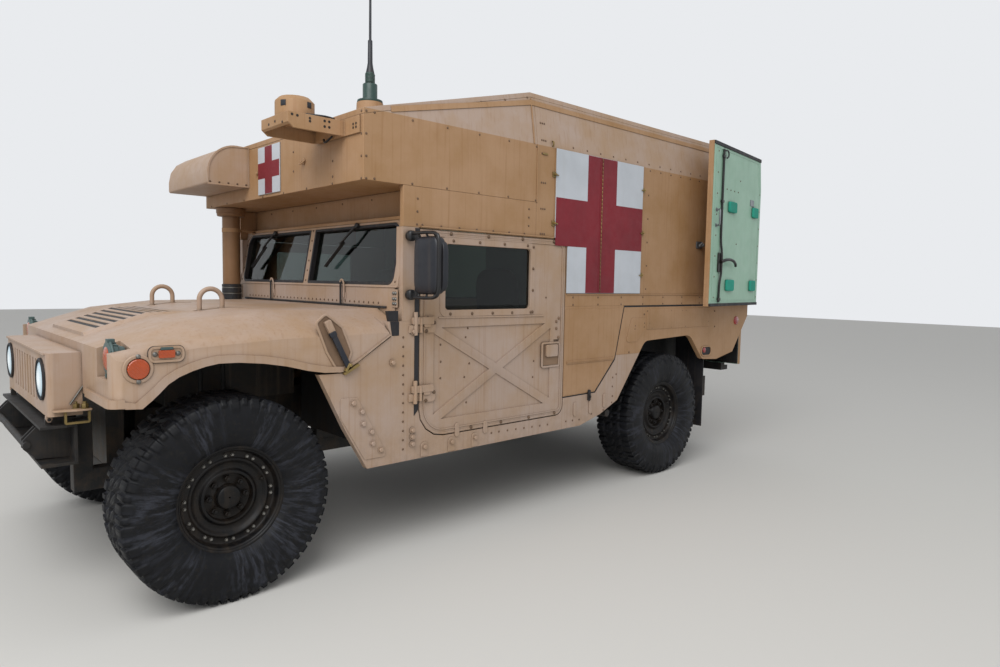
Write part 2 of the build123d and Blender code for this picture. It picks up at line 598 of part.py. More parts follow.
# Marker lamps: a round lamp with its housing in each fender pocket, round and long markers on the side
MARKER_X = (POCKET_X[0] + POCKET_X[1]) / 2
MARKER_R = 74
MARKER_Z = POCKET_LOW + MARKER_R + 14
SIDE_MARKER_Y = -382
SIDE_MARKER_Z = 1060
SIDE_MARKER_R = 41
LONG_MARKER = (-337, -215)
marker = rod((MARKER_X, HOOD_FRONT + 6, MARKER_Z), (MARKER_X, POCKET_REAR - 40, MARKER_Z), MARKER_R, 12)
marker += rod((MARKER_X, POCKET_REAR - 40, MARKER_Z), (MARKER_X, POCKET_REAR, MARKER_Z), 40, 8)
side_marker = rod((HALF_WIDTH, SIDE_MARKER_Y, SIDE_MARKER_Z), (HALF_WIDTH + 14, SIDE_MARKER_Y, SIDE_MARKER_Z),
                  SIDE_MARKER_R, 12)
long_marker = block((HALF_WIDTH, HALF_WIDTH + 10), LONG_MARKER, (1112, 1142))
write("marker_lamps", *both(marker), *both(side_marker), *both(long_marker))

# Cab floor with its tunnel, firewall and cowl shelf
TUB_T = 12
FIREWALL_Y = 678
COWL_Z = 1236
COWL_FRONT = HOOD_REAR + 4
SHELF_HALF = HALF_WIDTH - 134
SHELF_SIDE_Z = COWL_Z - 62
TUNNEL_HALF = 330
TUNNEL_TOP = 960
cab_floor = block((-SIDE_IN, SIDE_IN), (FIREWALL_Y, BULKHEAD_Y), (FLOOR_LOW, FLOOR_LOW + TUB_T))
cab_floor += plate_y([(-SIDE_IN, FLOOR_LOW), (-SIDE_IN, SHELF_SIDE_Z), (-SHELF_HALF, COWL_Z), (SHELF_HALF, COWL_Z),
                      (SIDE_IN, SHELF_SIDE_Z), (SIDE_IN, FLOOR_LOW)], FIREWALL_Y, FIREWALL_Y + TUB_T)
cab_floor += block((-SHELF_HALF, SHELF_HALF), (FIREWALL_Y, COWL_FRONT), (COWL_Z - TUB_T, COWL_Z))
cab_floor += block((DUCT_X - BOOT_R, -SHELF_HALF), (FIREWALL_Y, COWL_FRONT), (COWL_Z - TUB_T, COWL_Z))
cab_floor += block((-TUNNEL_HALF, TUNNEL_HALF), (FIREWALL_Y, BULKHEAD_Y), (FLOOR_LOW, TUNNEL_TOP))
cab_floor += block((-SIDE_IN, SIDE_IN), (BULKHEAD_Y - TUB_T, BULKHEAD_Y), (FLOOR_LOW, FLOOR_REAR_LOW + TUB_T))
cab_floor -= block((-TUNNEL_HALF + TUB_T, TUNNEL_HALF - TUB_T), (FIREWALL_Y - 1, BULKHEAD_Y + 1),
                   (FLOOR_LOW - 1, FLOOR_REAR_LOW))
cab_floor -= block((-TUNNEL_HALF + TUB_T, TUNNEL_HALF - TUB_T), (FIREWALL_Y - 1, BULKHEAD_Y - TUB_T),
                   (FLOOR_REAR_LOW - 1, TUNNEL_TOP - TUB_T))
write("cab_floor", cab_floor)

# Box floor with its wheel houses, rear sill and the tailgate's hinge lugs
WHEELHOUSE_X = WHEEL_X - TYRE_W / 2 - 62.5
WHEELHOUSE_TOP = 1100
FLOOR_END = BODY_REAR - 60
GATE_PIN_Y = BODY_REAR + 5
GATE_PIN_Z = 750
GATE_PIN_R = 8
GATE_HINGE_XS = (300, 800)
GATE_HINGE_W = 40
SILL_HALF = 900
SILL_LOW = 700
box_floor = block((-SIDE_IN, SIDE_IN), (BULKHEAD_Y, FLOOR_END), (FLOOR_REAR_LOW, FLOOR_REAR_LOW + TUB_T))
wheelhouse = block((WHEELHOUSE_X, SIDE_IN), (WHEELHOUSE_FRONT, FLOOR_END), (FLOOR_REAR_LOW, WHEELHOUSE_TOP))
wheel_well = block((WHEELHOUSE_X + TUB_T, SIDE_IN + 1), (WHEELHOUSE_FRONT + TUB_T, FLOOR_END - TUB_T),
                   (FLOOR_REAR_LOW - 1, WHEELHOUSE_TOP - TUB_T))
box_floor = cut_both(fuse_both(box_floor, wheelhouse), wheel_well)
box_floor += block((-SILL_HALF, SILL_HALF), (FLOOR_END - 60, FLOOR_END), (SILL_LOW, FLOOR_REAR_LOW))
box_floor += block((-SILL_HALF, SILL_HALF), (FLOOR_END, BODY_REAR - 8), (SILL_LOW, GATE_PIN_Z - GATE_PIN_R))
for x in GATE_HINGE_XS:
    lug = block((x + RUN_GAP, x + GATE_HINGE_W), (BODY_REAR - 20, GATE_PIN_Y), (GATE_PIN_Z - 15, GATE_PIN_Z))
    lug += rod((x + RUN_GAP, GATE_PIN_Y, GATE_PIN_Z), (x + GATE_HINGE_W, GATE_PIN_Y, GATE_PIN_Z), GATE_PIN_R, 8)
    box_floor = fuse_both(box_floor, lug)
write("box_floor", box_floor)

# Body sides below the belt: rocker with the cowl side, then the rear fender and the box panel
DOOR_FRONT = 985
DOOR_REAR = BULKHEAD_Y - PANEL_GAP
DOOR_LOW = 602
DOOR_TOP = 1720
SEAM_Z = 952
BELT_Z = 1299
GASKET_W = 9
FENDER_TOP = BELT_Z - GASKET_W - 4
gasket_line = [
    # (y, z) of the lower box panel's edge, from the door to the belt
    (BULKHEAD_Y, 712), (REAR_AXLE - 851, 716), (REAR_AXLE - 642, 930), (REAR_AXLE - 552, FENDER_TOP + GASKET_W),
]
fender_line = [(y + GASKET_W, z - GASKET_W) for y, z in gasket_line]
seam_y = fender_line[2][0] + (SEAM_Z - fender_line[2][1]) * (fender_line[3][0] - fender_line[2][0]) / (
    fender_line[3][1] - fender_line[2][1])
HINGE_ZS = (848, 1213)
HINGE_R = 9
HINGE_X = HALF_WIDTH + 14
HINGE_LEAF = 8
HINGE_H = 40
rocker_outline = [
    # (y, z) from the front arch along the sill to the rear arch and back round the door
    (400, 992), (540, 709), (666, 492), (REAR_AXLE - 993, 500), (REAR_AXLE - 784, 553),
    (REAR_AXLE - 599, 632), (REAR_AXLE - 352, SEAM_Z),
    (seam_y, SEAM_Z), fender_line[2], fender_line[1], (BULKHEAD_Y + GASKET_W, fender_line[0][1]),
    (BULKHEAD_Y, fender_line[0][1]), (BULKHEAD_Y, DOOR_LOW - PANEL_GAP),
    (DOOR_FRONT - PANEL_GAP, DOOR_LOW - PANEL_GAP),
    (DOOR_FRONT - PANEL_GAP, COWL_Z), (790, COWL_Z), (790, 1205), (807, 1159), (606, 1034), (525, 991),
]
DOOR_FOOT_R = 165
DOOR_REAR_R = 60
rocker_radii = [0] * len(rocker_outline)
rocker_radii[12] = DOOR_REAR_R + PANEL_GAP
rocker_radii[13] = DOOR_FOOT_R + PANEL_GAP
rocker = plate_x(rocker_outline, SIDE_IN, HALF_WIDTH, rocker_radii)
for z in HINGE_ZS:
    rocker += block((HALF_WIDTH, HALF_WIDTH + HINGE_LEAF), (DOOR_FRONT - 70, DOOR_FRONT - 4), (z - HINGE_H, z))
    rocker += rod((HINGE_X, DOOR_FRONT, z - HINGE_H), (HINGE_X, DOOR_FRONT, z), HINGE_R, 8)
write("rockers", *both(rocker))

RIB_DEPTH = 5
box_panel = plate_x([gasket_line[0], gasket_line[1], gasket_line[2], gasket_line[3],
                     (gasket_line[3][0], BELT_Z), (BULKHEAD_Y, BELT_Z)], SIDE_IN, HALF_WIDTH)
panel_ribs = [
    # (z, end y) of the pressed grooves across the panel
    (860, REAR_AXLE - 760), (1010, REAR_AXLE - 680), (1160, REAR_AXLE - 640),
]
for z, end_y in panel_ribs:
    box_panel -= block((HALF_WIDTH - RIB_DEPTH, HALF_WIDTH + 1), (BULKHEAD_Y + 60, end_y), (z - 9, z + 9))
fender_outline = [
    # (y, z) of the rear fender with the wheel arch
    (seam_y, SEAM_Z), (REAR_AXLE - 352, SEAM_Z), (REAR_AXLE - 287, 1036), (REAR_AXLE + 315, 1057),
    (REAR_AXLE + 508, 853), (REAR_AXLE + 728, 839), (REAR_AXLE + 992, 888), (BODY_REAR, 1191),
    (BODY_REAR, FENDER_TOP), (fender_line[3][0], FENDER_TOP),
]
fender_radii = [0, 0, 90, 120, 60, 0, 0, 0, 0, 0]
fender = plate_x(fender_outline, SIDE_IN, HALF_WIDTH, fender_radii)
ACCESS_Y = (REAR_AXLE - 272, REAR_AXLE + 598)
ACCESS_Z = (1120, 1270)
fender += block((HALF_WIDTH, HALF_WIDTH + 4), ACCESS_Y, ACCESS_Z)
write("rear_fenders", *both(fender), *both(box_panel))

gasket = plate_x(gasket_line + [(y, z) for y, z in reversed(fender_line[1:])]
                 + [(BULKHEAD_Y, fender_line[0][1])], SIDE_IN + 5, HALF_WIDTH - 3)
belt_gasket = block((SIDE_IN + 5, HALF_WIDTH - 3), (fender_line[3][0], BODY_REAR), (FENDER_TOP, BELT_Z))
write("gaskets", *both(gasket), *both(belt_gasket))

# Medical box: two side walls, roof wedge and roof, the part over the cab, rear frame and bulkhead
OVERHANG_FRONT = 640
OVERHANG_LOW = 1937
BREAK_Z = ROOF_Z - 311
ROOF_LEAN = 46
ROOF_HALF = HALF_WIDTH - ROOF_LEAN
ROOF_PEAK_Y = 1820
BOX_FRONT = 1850
ROOF_T = 30
wedge_slope = (ROOF_Z - BREAK_Z) / (ROOF_PEAK_Y - OVERHANG_FRONT)
tuck_y = OVERHANG_FRONT + ROOF_T / wedge_slope


def upper_wall(y0, y1):
    """Stretch of the wall above the break line, which leans in to the roof."""
    lean = plate_y([(HALF_WIDTH, BREAK_Z), (ROOF_HALF, ROOF_Z), (ROOF_HALF - BOX_WALL, ROOF_Z),
                    (BOX_IN, BREAK_Z)], y0, y1)
    under = plate_x([(tuck_y, BREAK_Z), (ROOF_PEAK_Y, ROOF_Z - ROOF_T), (BODY_REAR, ROOF_Z - ROOF_T),
                     (BODY_REAR, BREAK_Z)], 0, HALF_WIDTH)
    return lean & under


wall = plate_x([(BOX_FRONT, DOOR_TOP + PANEL_GAP), (BULKHEAD_Y, DOOR_TOP + PANEL_GAP), (BULKHEAD_Y, BELT_Z),
                (BODY_REAR, BELT_Z), (BODY_REAR, BREAK_Z), (BOX_FRONT, BREAK_Z)], BOX_IN, HALF_WIDTH,
               [0, DOOR_REAR_R + PANEL_GAP, 0, 0, 0, 0, 0])
wall += upper_wall(BOX_FRONT, BODY_REAR)
for z in REAR_HINGE_ZS:
    wall += block((HALF_WIDTH, REAR_PIN_X - 2), (BODY_REAR - 60, REAR_PIN_Y), (z - REAR_HINGE_H, z))
    wall += rod((REAR_PIN_X, REAR_PIN_Y, z - REAR_HINGE_H), (REAR_PIN_X, REAR_PIN_Y, z), REAR_PIN_R, 8)
write("box_sides", *both(wall))

roof = plate_x([(OVERHANG_FRONT, BREAK_Z), (ROOF_PEAK_Y, ROOF_Z), (BODY_REAR, ROOF_Z), (BODY_REAR, ROOF_Z - ROOF_T),
                (ROOF_PEAK_Y, ROOF_Z - ROOF_T), (OVERHANG_FRONT, BREAK_Z - ROOF_T)], -HALF_WIDTH, HALF_WIDTH)
roof &= plate_y([(-HALF_WIDTH, BREAK_Z - ROOF_T), (-HALF_WIDTH, BREAK_Z), (-ROOF_HALF, ROOF_Z), (ROOF_HALF, ROOF_Z),
                 (HALF_WIDTH, BREAK_Z), (HALF_WIDTH, BREAK_Z - ROOF_T)], OVERHANG_FRONT, BODY_REAR)
write("box_roof", roof)

overhang = block((-BOX_IN, BOX_IN), (OVERHANG_FRONT, OVERHANG_FRONT + BOX_WALL), (OVERHANG_LOW, BREAK_Z - ROOF_T))
overhang += block((-BOX_IN, BOX_IN), (OVERHANG_FRONT, BULKHEAD_Y), (OVERHANG_LOW, OVERHANG_LOW + BOX_WALL))
cheek = plate_x([(OVERHANG_FRONT, OVERHANG_LOW), (BOX_FRONT, OVERHANG_LOW), (BOX_FRONT, BREAK_Z),
                 (tuck_y, BREAK_Z), (OVERHANG_FRONT, BREAK_Z - ROOF_T)], BOX_IN, HALF_WIDTH)
cheek += upper_wall(tuck_y, BOX_FRONT)
overhang = fuse_both(overhang, cheek)
write("overhang", overhang)

REAR_FRAME_T = 45
REAR_OPEN_HALF = HALF_WIDTH - 94
REAR_OPEN_TOP = ROOF_Z - 94
lean_in = ROOF_LEAN / (ROOF_Z - BREAK_Z)
rear_top = ROOF_Z - ROOF_T
rear_top_half = BOX_IN - lean_in * (rear_top - BREAK_Z)
rear_frame = plate_y([(-BOX_IN, BELT_Z), (-BOX_IN, BREAK_Z), (-rear_top_half, rear_top), (rear_top_half, rear_top),
                      (BOX_IN, BREAK_Z), (BOX_IN, BELT_Z)], BODY_REAR - REAR_FRAME_T, BODY_REAR)
rear_frame -= block((-REAR_OPEN_HALF, REAR_OPEN_HALF), (BODY_REAR - 100, BODY_REAR + 10),
                    (BELT_Z - 100, REAR_OPEN_TOP))
write("rear_frame", rear_frame)

PASS_HALF = 280
PASS_TOP = 1850
bulkhead = block((-BOX_IN, BOX_IN), (BULKHEAD_Y, BULKHEAD_Y + BOX_WALL), (BELT_Z, OVERHANG_LOW + BOX_WALL))
bulkhead += block((-SIDE_IN, SIDE_IN), (BULKHEAD_Y, BULKHEAD_Y + BOX_WALL), (FLOOR_REAR_LOW + TUB_T, BELT_Z))
bulkhead -= block((-PASS_HALF, PASS_HALF), (BULKHEAD_Y - 1, BULKHEAD_Y + BOX_WALL + 1), (TUNNEL_TOP + 20, PASS_TOP))
write("bulkhead", bulkhead)

# Cab: cowl, windscreen frame with two panes, side panels and the header under the overhang
FRAME_TOP = 1770
SILL_Z = 1410
GLASS_LOW = SILL_Z + 20
GLASS_TOP = FRAME_TOP - 20
GLASS_MID_GAP = 35
GLASS_OUT = HALF_WIDTH - 89
POST_IN = HALF_WIDTH - 60
POST_FRONT = 875
SCREEN_T = 60
RAKE = 64
cowl = plate_x([(COWL_FRONT, COWL_Z), (DOOR_FRONT - PANEL_GAP, COWL_Z), (DOOR_FRONT - PANEL_GAP, COWL_Z + 60),
                (COWL_FRONT + SCREEN_T, SILL_Z), (COWL_FRONT, SILL_Z)], -POST_IN, POST_IN)
write("cowl", cowl)
screen = plate_x([(COWL_FRONT, SILL_Z), (COWL_FRONT + SCREEN_T, SILL_Z), (COWL_FRONT + SCREEN_T + RAKE, FRAME_TOP),
                  (COWL_FRONT + RAKE, FRAME_TOP)], -BOX_IN, BOX_IN)
pane_outline = [(GLASS_MID_GAP, GLASS_LOW), (GLASS_OUT, GLASS_LOW), (GLASS_OUT, GLASS_TOP), (GLASS_MID_GAP, GLASS_TOP)]
pane_cut = plate_y(pane_outline, COWL_FRONT - 100, COWL_FRONT + 300, [0, 40, 70, 0])
screen = cut_both(screen, pane_cut)
post = block((POST_IN, HALF_WIDTH), (POST_FRONT, DOOR_FRONT - PANEL_GAP), (COWL_Z, DOOR_TOP + PANEL_GAP))
screen = fuse_both(screen, post)
write("windshield_frame", screen)
glass_mid = COWL_FRONT + SCREEN_T / 2
GLASS_T = 8
pane = plate_x([(glass_mid - GLASS_T / 2, SILL_Z), (glass_mid + GLASS_T / 2, SILL_Z),
                (glass_mid + RAKE + GLASS_T / 2, FRAME_TOP), (glass_mid + RAKE - GLASS_T / 2, FRAME_TOP)],
               0, BOX_IN) & pane_cut
write("windshield_glass", *both(pane))
HEADER_Y = (1000, 1030)
cab_top = block((-BOX_IN, BOX_IN), HEADER_Y, (FRAME_TOP, OVERHANG_LOW))
cab_top += block((-BOX_IN, BOX_IN), (COWL_FRONT + RAKE, HEADER_Y[1]), (FRAME_TOP, FRAME_TOP + 20))
cab_top = fuse_both(cab_top, block((BOX_IN, HALF_WIDTH), (POST_FRONT, BOX_FRONT), (DOOR_TOP + PANEL_GAP, OVERHANG_LOW)))
write("cab_top", cab_top)

# Cab doors: pressed skin with an X of ribs between four pockets, a window and two outside hinges
DOOR_T = 38
WINDOW_Y = (1155, DOOR_REAR - 315)
WINDOW_Z = (1290, 1650)
FIELD_Y = (DOOR_FRONT + 95, DOOR_REAR - 125)
FIELD_Z = (690, 1195)
FIELD_DEPTH = 7
RIB_HALF = 26
door = plate_x([(DOOR_FRONT, DOOR_LOW), (DOOR_REAR, DOOR_LOW), (DOOR_REAR, DOOR_TOP), (DOOR_FRONT, DOOR_TOP)],
               HALF_WIDTH - DOOR_T, HALF_WIDTH, [DOOR_FOOT_R, DOOR_REAR_R, DOOR_REAR_R, 0])
window = plate_x([(WINDOW_Y[0], WINDOW_Z[0]), (WINDOW_Y[1], WINDOW_Z[0]), (WINDOW_Y[1], WINDOW_Z[1]),
                  (WINDOW_Y[0], WINDOW_Z[1])], HALF_WIDTH - DOOR_T - 1, HALF_WIDTH + 1, 25)
door -= window
mid_y = (FIELD_Y[0] + FIELD_Y[1]) / 2
mid_z = (FIELD_Z[0] + FIELD_Z[1]) / 2
slope = (FIELD_Z[1] - FIELD_Z[0]) / (FIELD_Y[1] - FIELD_Y[0])
rib_y = RIB_HALF * (1 + slope ** 2) ** 0.5 / slope
rib_z = RIB_HALF * (1 + slope ** 2) ** 0.5
field_pockets = [
    # three (y, z) corners of each pocket between the ribs
    [(FIELD_Y[0] + rib_y, FIELD_Z[0]), (FIELD_Y[1] - rib_y, FIELD_Z[0]), (mid_y, mid_z - rib_z)],
    [(FIELD_Y[1] - rib_y, FIELD_Z[1]), (FIELD_Y[0] + rib_y, FIELD_Z[1]), (mid_y, mid_z + rib_z)],
    [(FIELD_Y[0], FIELD_Z[1] - rib_z), (FIELD_Y[0], FIELD_Z[0] + rib_z), (mid_y - rib_y, mid_z)],
    [(FIELD_Y[1], FIELD_Z[0] + rib_z), (FIELD_Y[1], FIELD_Z[1] - rib_z), (mid_y + rib_y, mid_z)],
]
for points in field_pockets:
    door -= plate_x(points, HALF_WIDTH - FIELD_DEPTH, HALF_WIDTH + 1)
door -= block((HALF_WIDTH - 12, HALF_WIDTH + 1), (DOOR_REAR - 95, DOOR_REAR - 45), (1010, 1090))
for z in HINGE_ZS:
    door += block((HALF_WIDTH, HALF_WIDTH + HINGE_LEAF), (DOOR_FRONT + 3, DOOR_FRONT + 75), (z + RUN_GAP, z + HINGE_H))
    door += rod((HINGE_X, DOOR_FRONT, z + RUN_GAP), (HINGE_X, DOOR_FRONT, z + HINGE_H), HINGE_R, 8)
write("cab_door_left", door)
write("cab_door_right", flip(door))
glass_x = HALF_WIDTH - DOOR_T / 2
door_glass = block((glass_x - GLASS_T / 2, glass_x + GLASS_T / 2), WINDOW_Y, WINDOW_Z) & window
write("door_glass_left", door_glass)
write("door_glass_right", flip(door_glass))

# Medical panels on both sides and on the front, proud of the walls
PANEL_T = 8
PANEL_FRONT = 2014
PANEL_REAR = PANEL_FRONT + 908
PANEL_LOW = 1384
side_panel = plate_x([(PANEL_FRONT, DOOR_TOP + 10), (BULKHEAD_Y + 4, DOOR_TOP + 10), (BULKHEAD_Y + 4, PANEL_LOW),
                      (PANEL_REAR, PANEL_LOW), (PANEL_REAR, BREAK_Z), (PANEL_FRONT, BREAK_Z)],
                     HALF_WIDTH, HALF_WIDTH + PANEL_T)
front_panel = block((-150, 150), (OVERHANG_FRONT - PANEL_T, OVERHANG_FRONT), (1956, 2240))
write("medical_panels", *both(side_panel), front_panel)

# Nose housing on the right of the overhang's front
NOSE_R = 175
nose = plate_x([(OVERHANG_FRONT, 2020), (385, 2020), (385, 2262), (OVERHANG_FRONT, 2262)],
               -HALF_WIDTH + 14, -303, [0, 12, NOSE_R, 0])
write("nose_housing", nose)

# Air duct: boot on the cowl shelf, column and the collar under the overhang
DUCT_R = 68
COLLAR_R = 98
COLLAR_LOW = OVERHANG_LOW - 47
BOOT_TOP = COWL_Z + 87
duct_stages = [
    # (radius, low, top) from the boot up
    (BOOT_R, COWL_Z, BOOT_TOP), (DUCT_R, BOOT_TOP, COLLAR_LOW), (COLLAR_R, COLLAR_LOW, OVERHANG_LOW),
]
duct = []
for radius, low, top in duct_stages:
    duct.append(rod((DUCT_X, DUCT_Y, low), (DUCT_X, DUCT_Y, top), radius, 16))
duct = duct[0] + duct[1] + duct[2]
write("air_duct", duct)

# Sensor bracket: folded plate on the overhang, tray, round dome and its knob
TRAY_LOW = 2165
TRAY_TOP = 2240
DOME_X = 745
DOME_Y = 440
DOME_R = 95
bracket = block((620, 1040), (OVERHANG_FRONT - 10, OVERHANG_FRONT), (TRAY_LOW, TRAY_TOP + 10))
tray = plate_x([(330, TRAY_LOW + 25), (360, TRAY_LOW), (OVERHANG_FRONT - 10, TRAY_LOW), (OVERHANG_FRONT - 10, TRAY_TOP),
                (330, TRAY_TOP)], 600, 900)
tray -= block((612, 888), (342, OVERHANG_FRONT - 22), (TRAY_LOW - 1, TRAY_TOP - 12))
bracket += tray
dome_profile = [(0, 0), (0, DOME_R), (80, DOME_R), (102, DOME_R - 22), (110, DOME_R - 55), (110, 0)]
bracket += Pos(DOME_X, DOME_Y, TRAY_TOP) * Rot(Y=-90) * ring_form(dome_profile, 16)
write("sensor_bracket", bracket)

# Antenna on its pedestal on the roof slope
ANT_X = HALF_WIDTH - 264
ANT_Y = 840
ANT_HALF = 75
ANT_BASE_Z = ROOF_Z - 214
ANT_SPRING_TOP = ANT_BASE_Z + 105
ANT_COIL_TOP = ANT_SPRING_TOP + 228
ANT_TOP = 3880


def wedge_z(y):
    """Height of the roof wedge at y."""
    return BREAK_Z + (y - OVERHANG_FRONT) * wedge_slope


antenna = plate_x([(ANT_Y - ANT_HALF, wedge_z(ANT_Y - ANT_HALF)), (ANT_Y + ANT_HALF, wedge_z(ANT_Y + ANT_HALF)),
                   (ANT_Y + ANT_HALF, ANT_BASE_Z), (ANT_Y - ANT_HALF, ANT_BASE_Z)],
                  ANT_X - ANT_HALF, ANT_X + ANT_HALF)
antenna_rods = [
    # (top, radius, flats) from the base up
    (ANT_SPRING_TOP, 40, 12), (ANT_COIL_TOP, 12, 8), (ANT_TOP, 5, 6),
]
rod_low = ANT_BASE_Z
for rod_top, radius, flats in antenna_rods:
    antenna += rod((ANT_X, ANT_Y, rod_low), (ANT_X, ANT_Y, rod_top), radius, flats)
    rod_low = rod_top
write("antenna", antenna)

# Mirrors: rounded heads on C-shaped arms from the windscreen posts
MIRROR_IN = HALF_WIDTH + 46
MIRROR_OUT = MIRROR_IN + 220
MIRROR_Z = (1370, 1680)
MIRROR_BAR = 18
mirror_head = plate_z([(MIRROR_IN, 892), (MIRROR_OUT, 892), (MIRROR_OUT, 935), (MIRROR_OUT - 60, 975),
                       (MIRROR_IN + 60, 975), (MIRROR_IN, 935)], MIRROR_Z[0], MIRROR_Z[1])
arm_x = (HALF_WIDTH, MIRROR_IN + 150)
for z in (MIRROR_Z[0] - MIRROR_BAR, MIRROR_Z[1]):
    mirror_head += block(arm_x, (POST_FRONT + 35, POST_FRONT + 35 + MIRROR_BAR), (z, z + MIRROR_BAR))
write("mirrors", *both(mirror_head))

# Wipers hang from the top of the windscreen frame
WIPER_X = 510
wiper = block((WIPER_X - 10, WIPER_X + 10), (COWL_FRONT + RAKE - 30, COWL_FRONT + RAKE - 3.5),
              (FRAME_TOP - 18, FRAME_TOP - 2))
wiper += plate_x([(COWL_FRONT + RAKE - 22, FRAME_TOP - 4), (COWL_FRONT + RAKE - 12, FRAME_TOP - 4),
                  (COWL_FRONT + 10, SILL_Z + 90), (COWL_FRONT, SILL_Z + 90)], WIPER_X - 5, WIPER_X + 5)
write("wipers", *both(wiper))

# Exhaust: silencer between the rails and a tail pipe out to the left sill
PIPE_R = 28
PIPE_Z = RAIL_LOW - PIPE_R - 6
SILENCER_X = 270
SILENCER_Y = (BULKHEAD_Y - 371, BULKHEAD_Y + 269)
PIPE_Y = SILENCER_Y[1] + 240
pipe_points = [(SILENCER_X, SILENCER_Y[1] - 10, PIPE_Z), (SILENCER_X, PIPE_Y, PIPE_Z), (SIDE_IN - 464, PIPE_Y, PIPE_Z),
               (SIDE_IN - 284, PIPE_Y, 540), (SIDE_IN - 14, PIPE_Y, 540)]
exhaust = rod((SILENCER_X, SILENCER_Y[0], PIPE_Z + 54), (SILENCER_X, SILENCER_Y[1], PIPE_Z + 54), 65, 10)
for start, end in zip(pipe_points, pipe_points[1:]):
    run = (Vector(end) - Vector(start)).normalized() * PIPE_R * 0.7
    exhaust += rod(Vector(start) - run, Vector(end) + run, PIPE_R, 6)
exhaust += block((RAIL_IN + 10, RAIL_OUT - 10), (PIPE_Y - 20, PIPE_Y + 20), (PIPE_Z, RAIL_LOW))
write("exhaust", exhaust)

# Mud flaps behind the rear wheels
FLAP_Y = REAR_AXLE + TYRE_R + 141
flap = block((WHEEL_X - TYRE_W / 2, SIDE_IN - 4), (FLAP_Y, FLAP_Y + 8), (280, WHEELHOUSE_TOP - TUB_T))
write("mud_flaps", *both(flap))

# Rear bumper: channel on the rail ends, with the tow hook's holes and two tie-down eyes
PINTLE_HOLE_R = 7
PINTLE_DX = 44.5
PINTLE_DZ = 85.7
PINTLE_Z = 530
EYE_R = 19
EYE_X = 640
REAR_BUMPER_HALF = 700
REAR_BUMPER_TOP = 620
rear_face = RAIL_REAR + REAR_BUMPER_D
rear_bumper = block((-REAR_BUMPER_HALF, REAR_BUMPER_HALF), (RAIL_REAR, rear_face),
                    (RAIL_LOW - BUMPER_T, REAR_BUMPER_TOP))
rear_bumper -= block((-REAR_BUMPER_HALF + BUMPER_T, REAR_BUMPER_HALF - BUMPER_T),
                     (RAIL_REAR - 1, rear_face - BUMPER_T), (RAIL_LOW, REAR_BUMPER_TOP - BUMPER_T))
for x in (-PINTLE_DX / 2, PINTLE_DX / 2):
    for z in (PINTLE_Z - PINTLE_DZ / 2, PINTLE_Z + PINTLE_DZ / 2):
        rear_bumper -= rod((x, rear_face - 2 * BUMPER_T, z), (x, rear_face + 1, z), PINTLE_HOLE_R)
eye = plate_x([(rear_face, PINTLE_Z - 50), (rear_face + 45, PINTLE_Z - 35), (rear_face + 70, PINTLE_Z),
               (rear_face + 45, PINTLE_Z + 35), (rear_face, PINTLE_Z + 50)], EYE_X, EYE_X + EAR_T)
eye -= rod((EYE_X - 1, rear_face + 38, PINTLE_Z), (EYE_X + EAR_T + 1, rear_face + 38, PINTLE_Z), EYE_R)
rear_bumper = fuse_both(rear_bumper, eye)
write("rear_bumper", rear_bumper)

# Tail lamps on the rear bumper
lamp_box = block((EYE_X - 75, EYE_X + 45), (RAIL_REAR + 12, rear_face - 12), (REAR_BUMPER_TOP, REAR_BUMPER_TOP + 72))
for x in (EYE_X - 45, EYE_X + 15):
    lamp_box += rod((x, rear_face - 12, REAR_BUMPER_TOP + 36), (x, rear_face - 4, REAR_BUMPER_TOP + 36), 26, 10)
write("tail_lamps", *both(lamp_box))

# Lifting loops stand on the spring towers and pass through the hood's slots
LOOP_TOP = 1400
loop_base = TOWER_Z + TOWER_T
loop = plate_x([(LOOP_FRONT, loop_base), (LOOP_REAR, loop_base), (LOOP_REAR, LOOP_TOP - LOOP_BAR),
                (LOOP_REAR - LOOP_BAR, LOOP_TOP), (LOOP_FRONT + LOOP_BAR, LOOP_TOP),
                (LOOP_FRONT, LOOP_TOP - LOOP_BAR)], LOOP_X - LOOP_BAR / 2, LOOP_X + LOOP_BAR / 2)
loop -= block((LOOP_X - LOOP_BAR, LOOP_X + LOOP_BAR), (LOOP_FRONT + LOOP_BAR, LOOP_REAR - LOOP_BAR),
              (loop_base + 60, LOOP_TOP - LOOP_BAR))
write("lifting_loops", *both(loop))

# Inside the cab: seats, dashboard and steering wheel
SEAT_IN = 400
SEAT_OUT = 860
SEAT_REAR = BULKHEAD_Y - 171
CUSHION_Z = 900
seat = block((SEAT_IN, SEAT_OUT), (SEAT_REAR - 520, SEAT_REAR), (FLOOR_LOW + TUB_T, CUSHION_Z))
seat += plate_x([(SEAT_REAR - 540, CUSHION_Z), (SEAT_REAR, CUSHION_Z), (SEAT_REAR + 50, 1560), (SEAT_REAR - 40, 1560),
                 (SEAT_REAR - 100, CUSHION_Z + 110), (SEAT_REAR - 540, CUSHION_Z + 110)], SEAT_IN, SEAT_OUT)
write("cab_seats", *both(seat))
WHEEL_TILT = 30
DRIVER_X = (SEAT_IN + SEAT_OUT) / 2
COLUMN_R = 24
COLUMN_LENGTH = 240
DASH_LOW = 1000
steer_at = Pos(DRIVER_X, 1290, 1190) * Rot(X=WHEEL_TILT - 90)
dash = plate_x([(DOOR_FRONT - PANEL_GAP, DASH_LOW), (1120, DASH_LOW), (1150, COWL_Z - 36), (1100, COWL_Z),
                (DOOR_FRONT - PANEL_GAP, COWL_Z)], -POST_IN, POST_IN)
dash -= steer_at * Pos(0, 0, -COLUMN_LENGTH - 2) * extrude(RegularPolygon(COLUMN_R + RUN_GAP, 12, major_radius=False),
                                                         COLUMN_LENGTH + 2)
write("dashboard", dash)
RING_R = 200
ring = extrude(RegularPolygon(RING_R, 16), 22) - extrude(RegularPolygon(RING_R - 24, 16), 22)
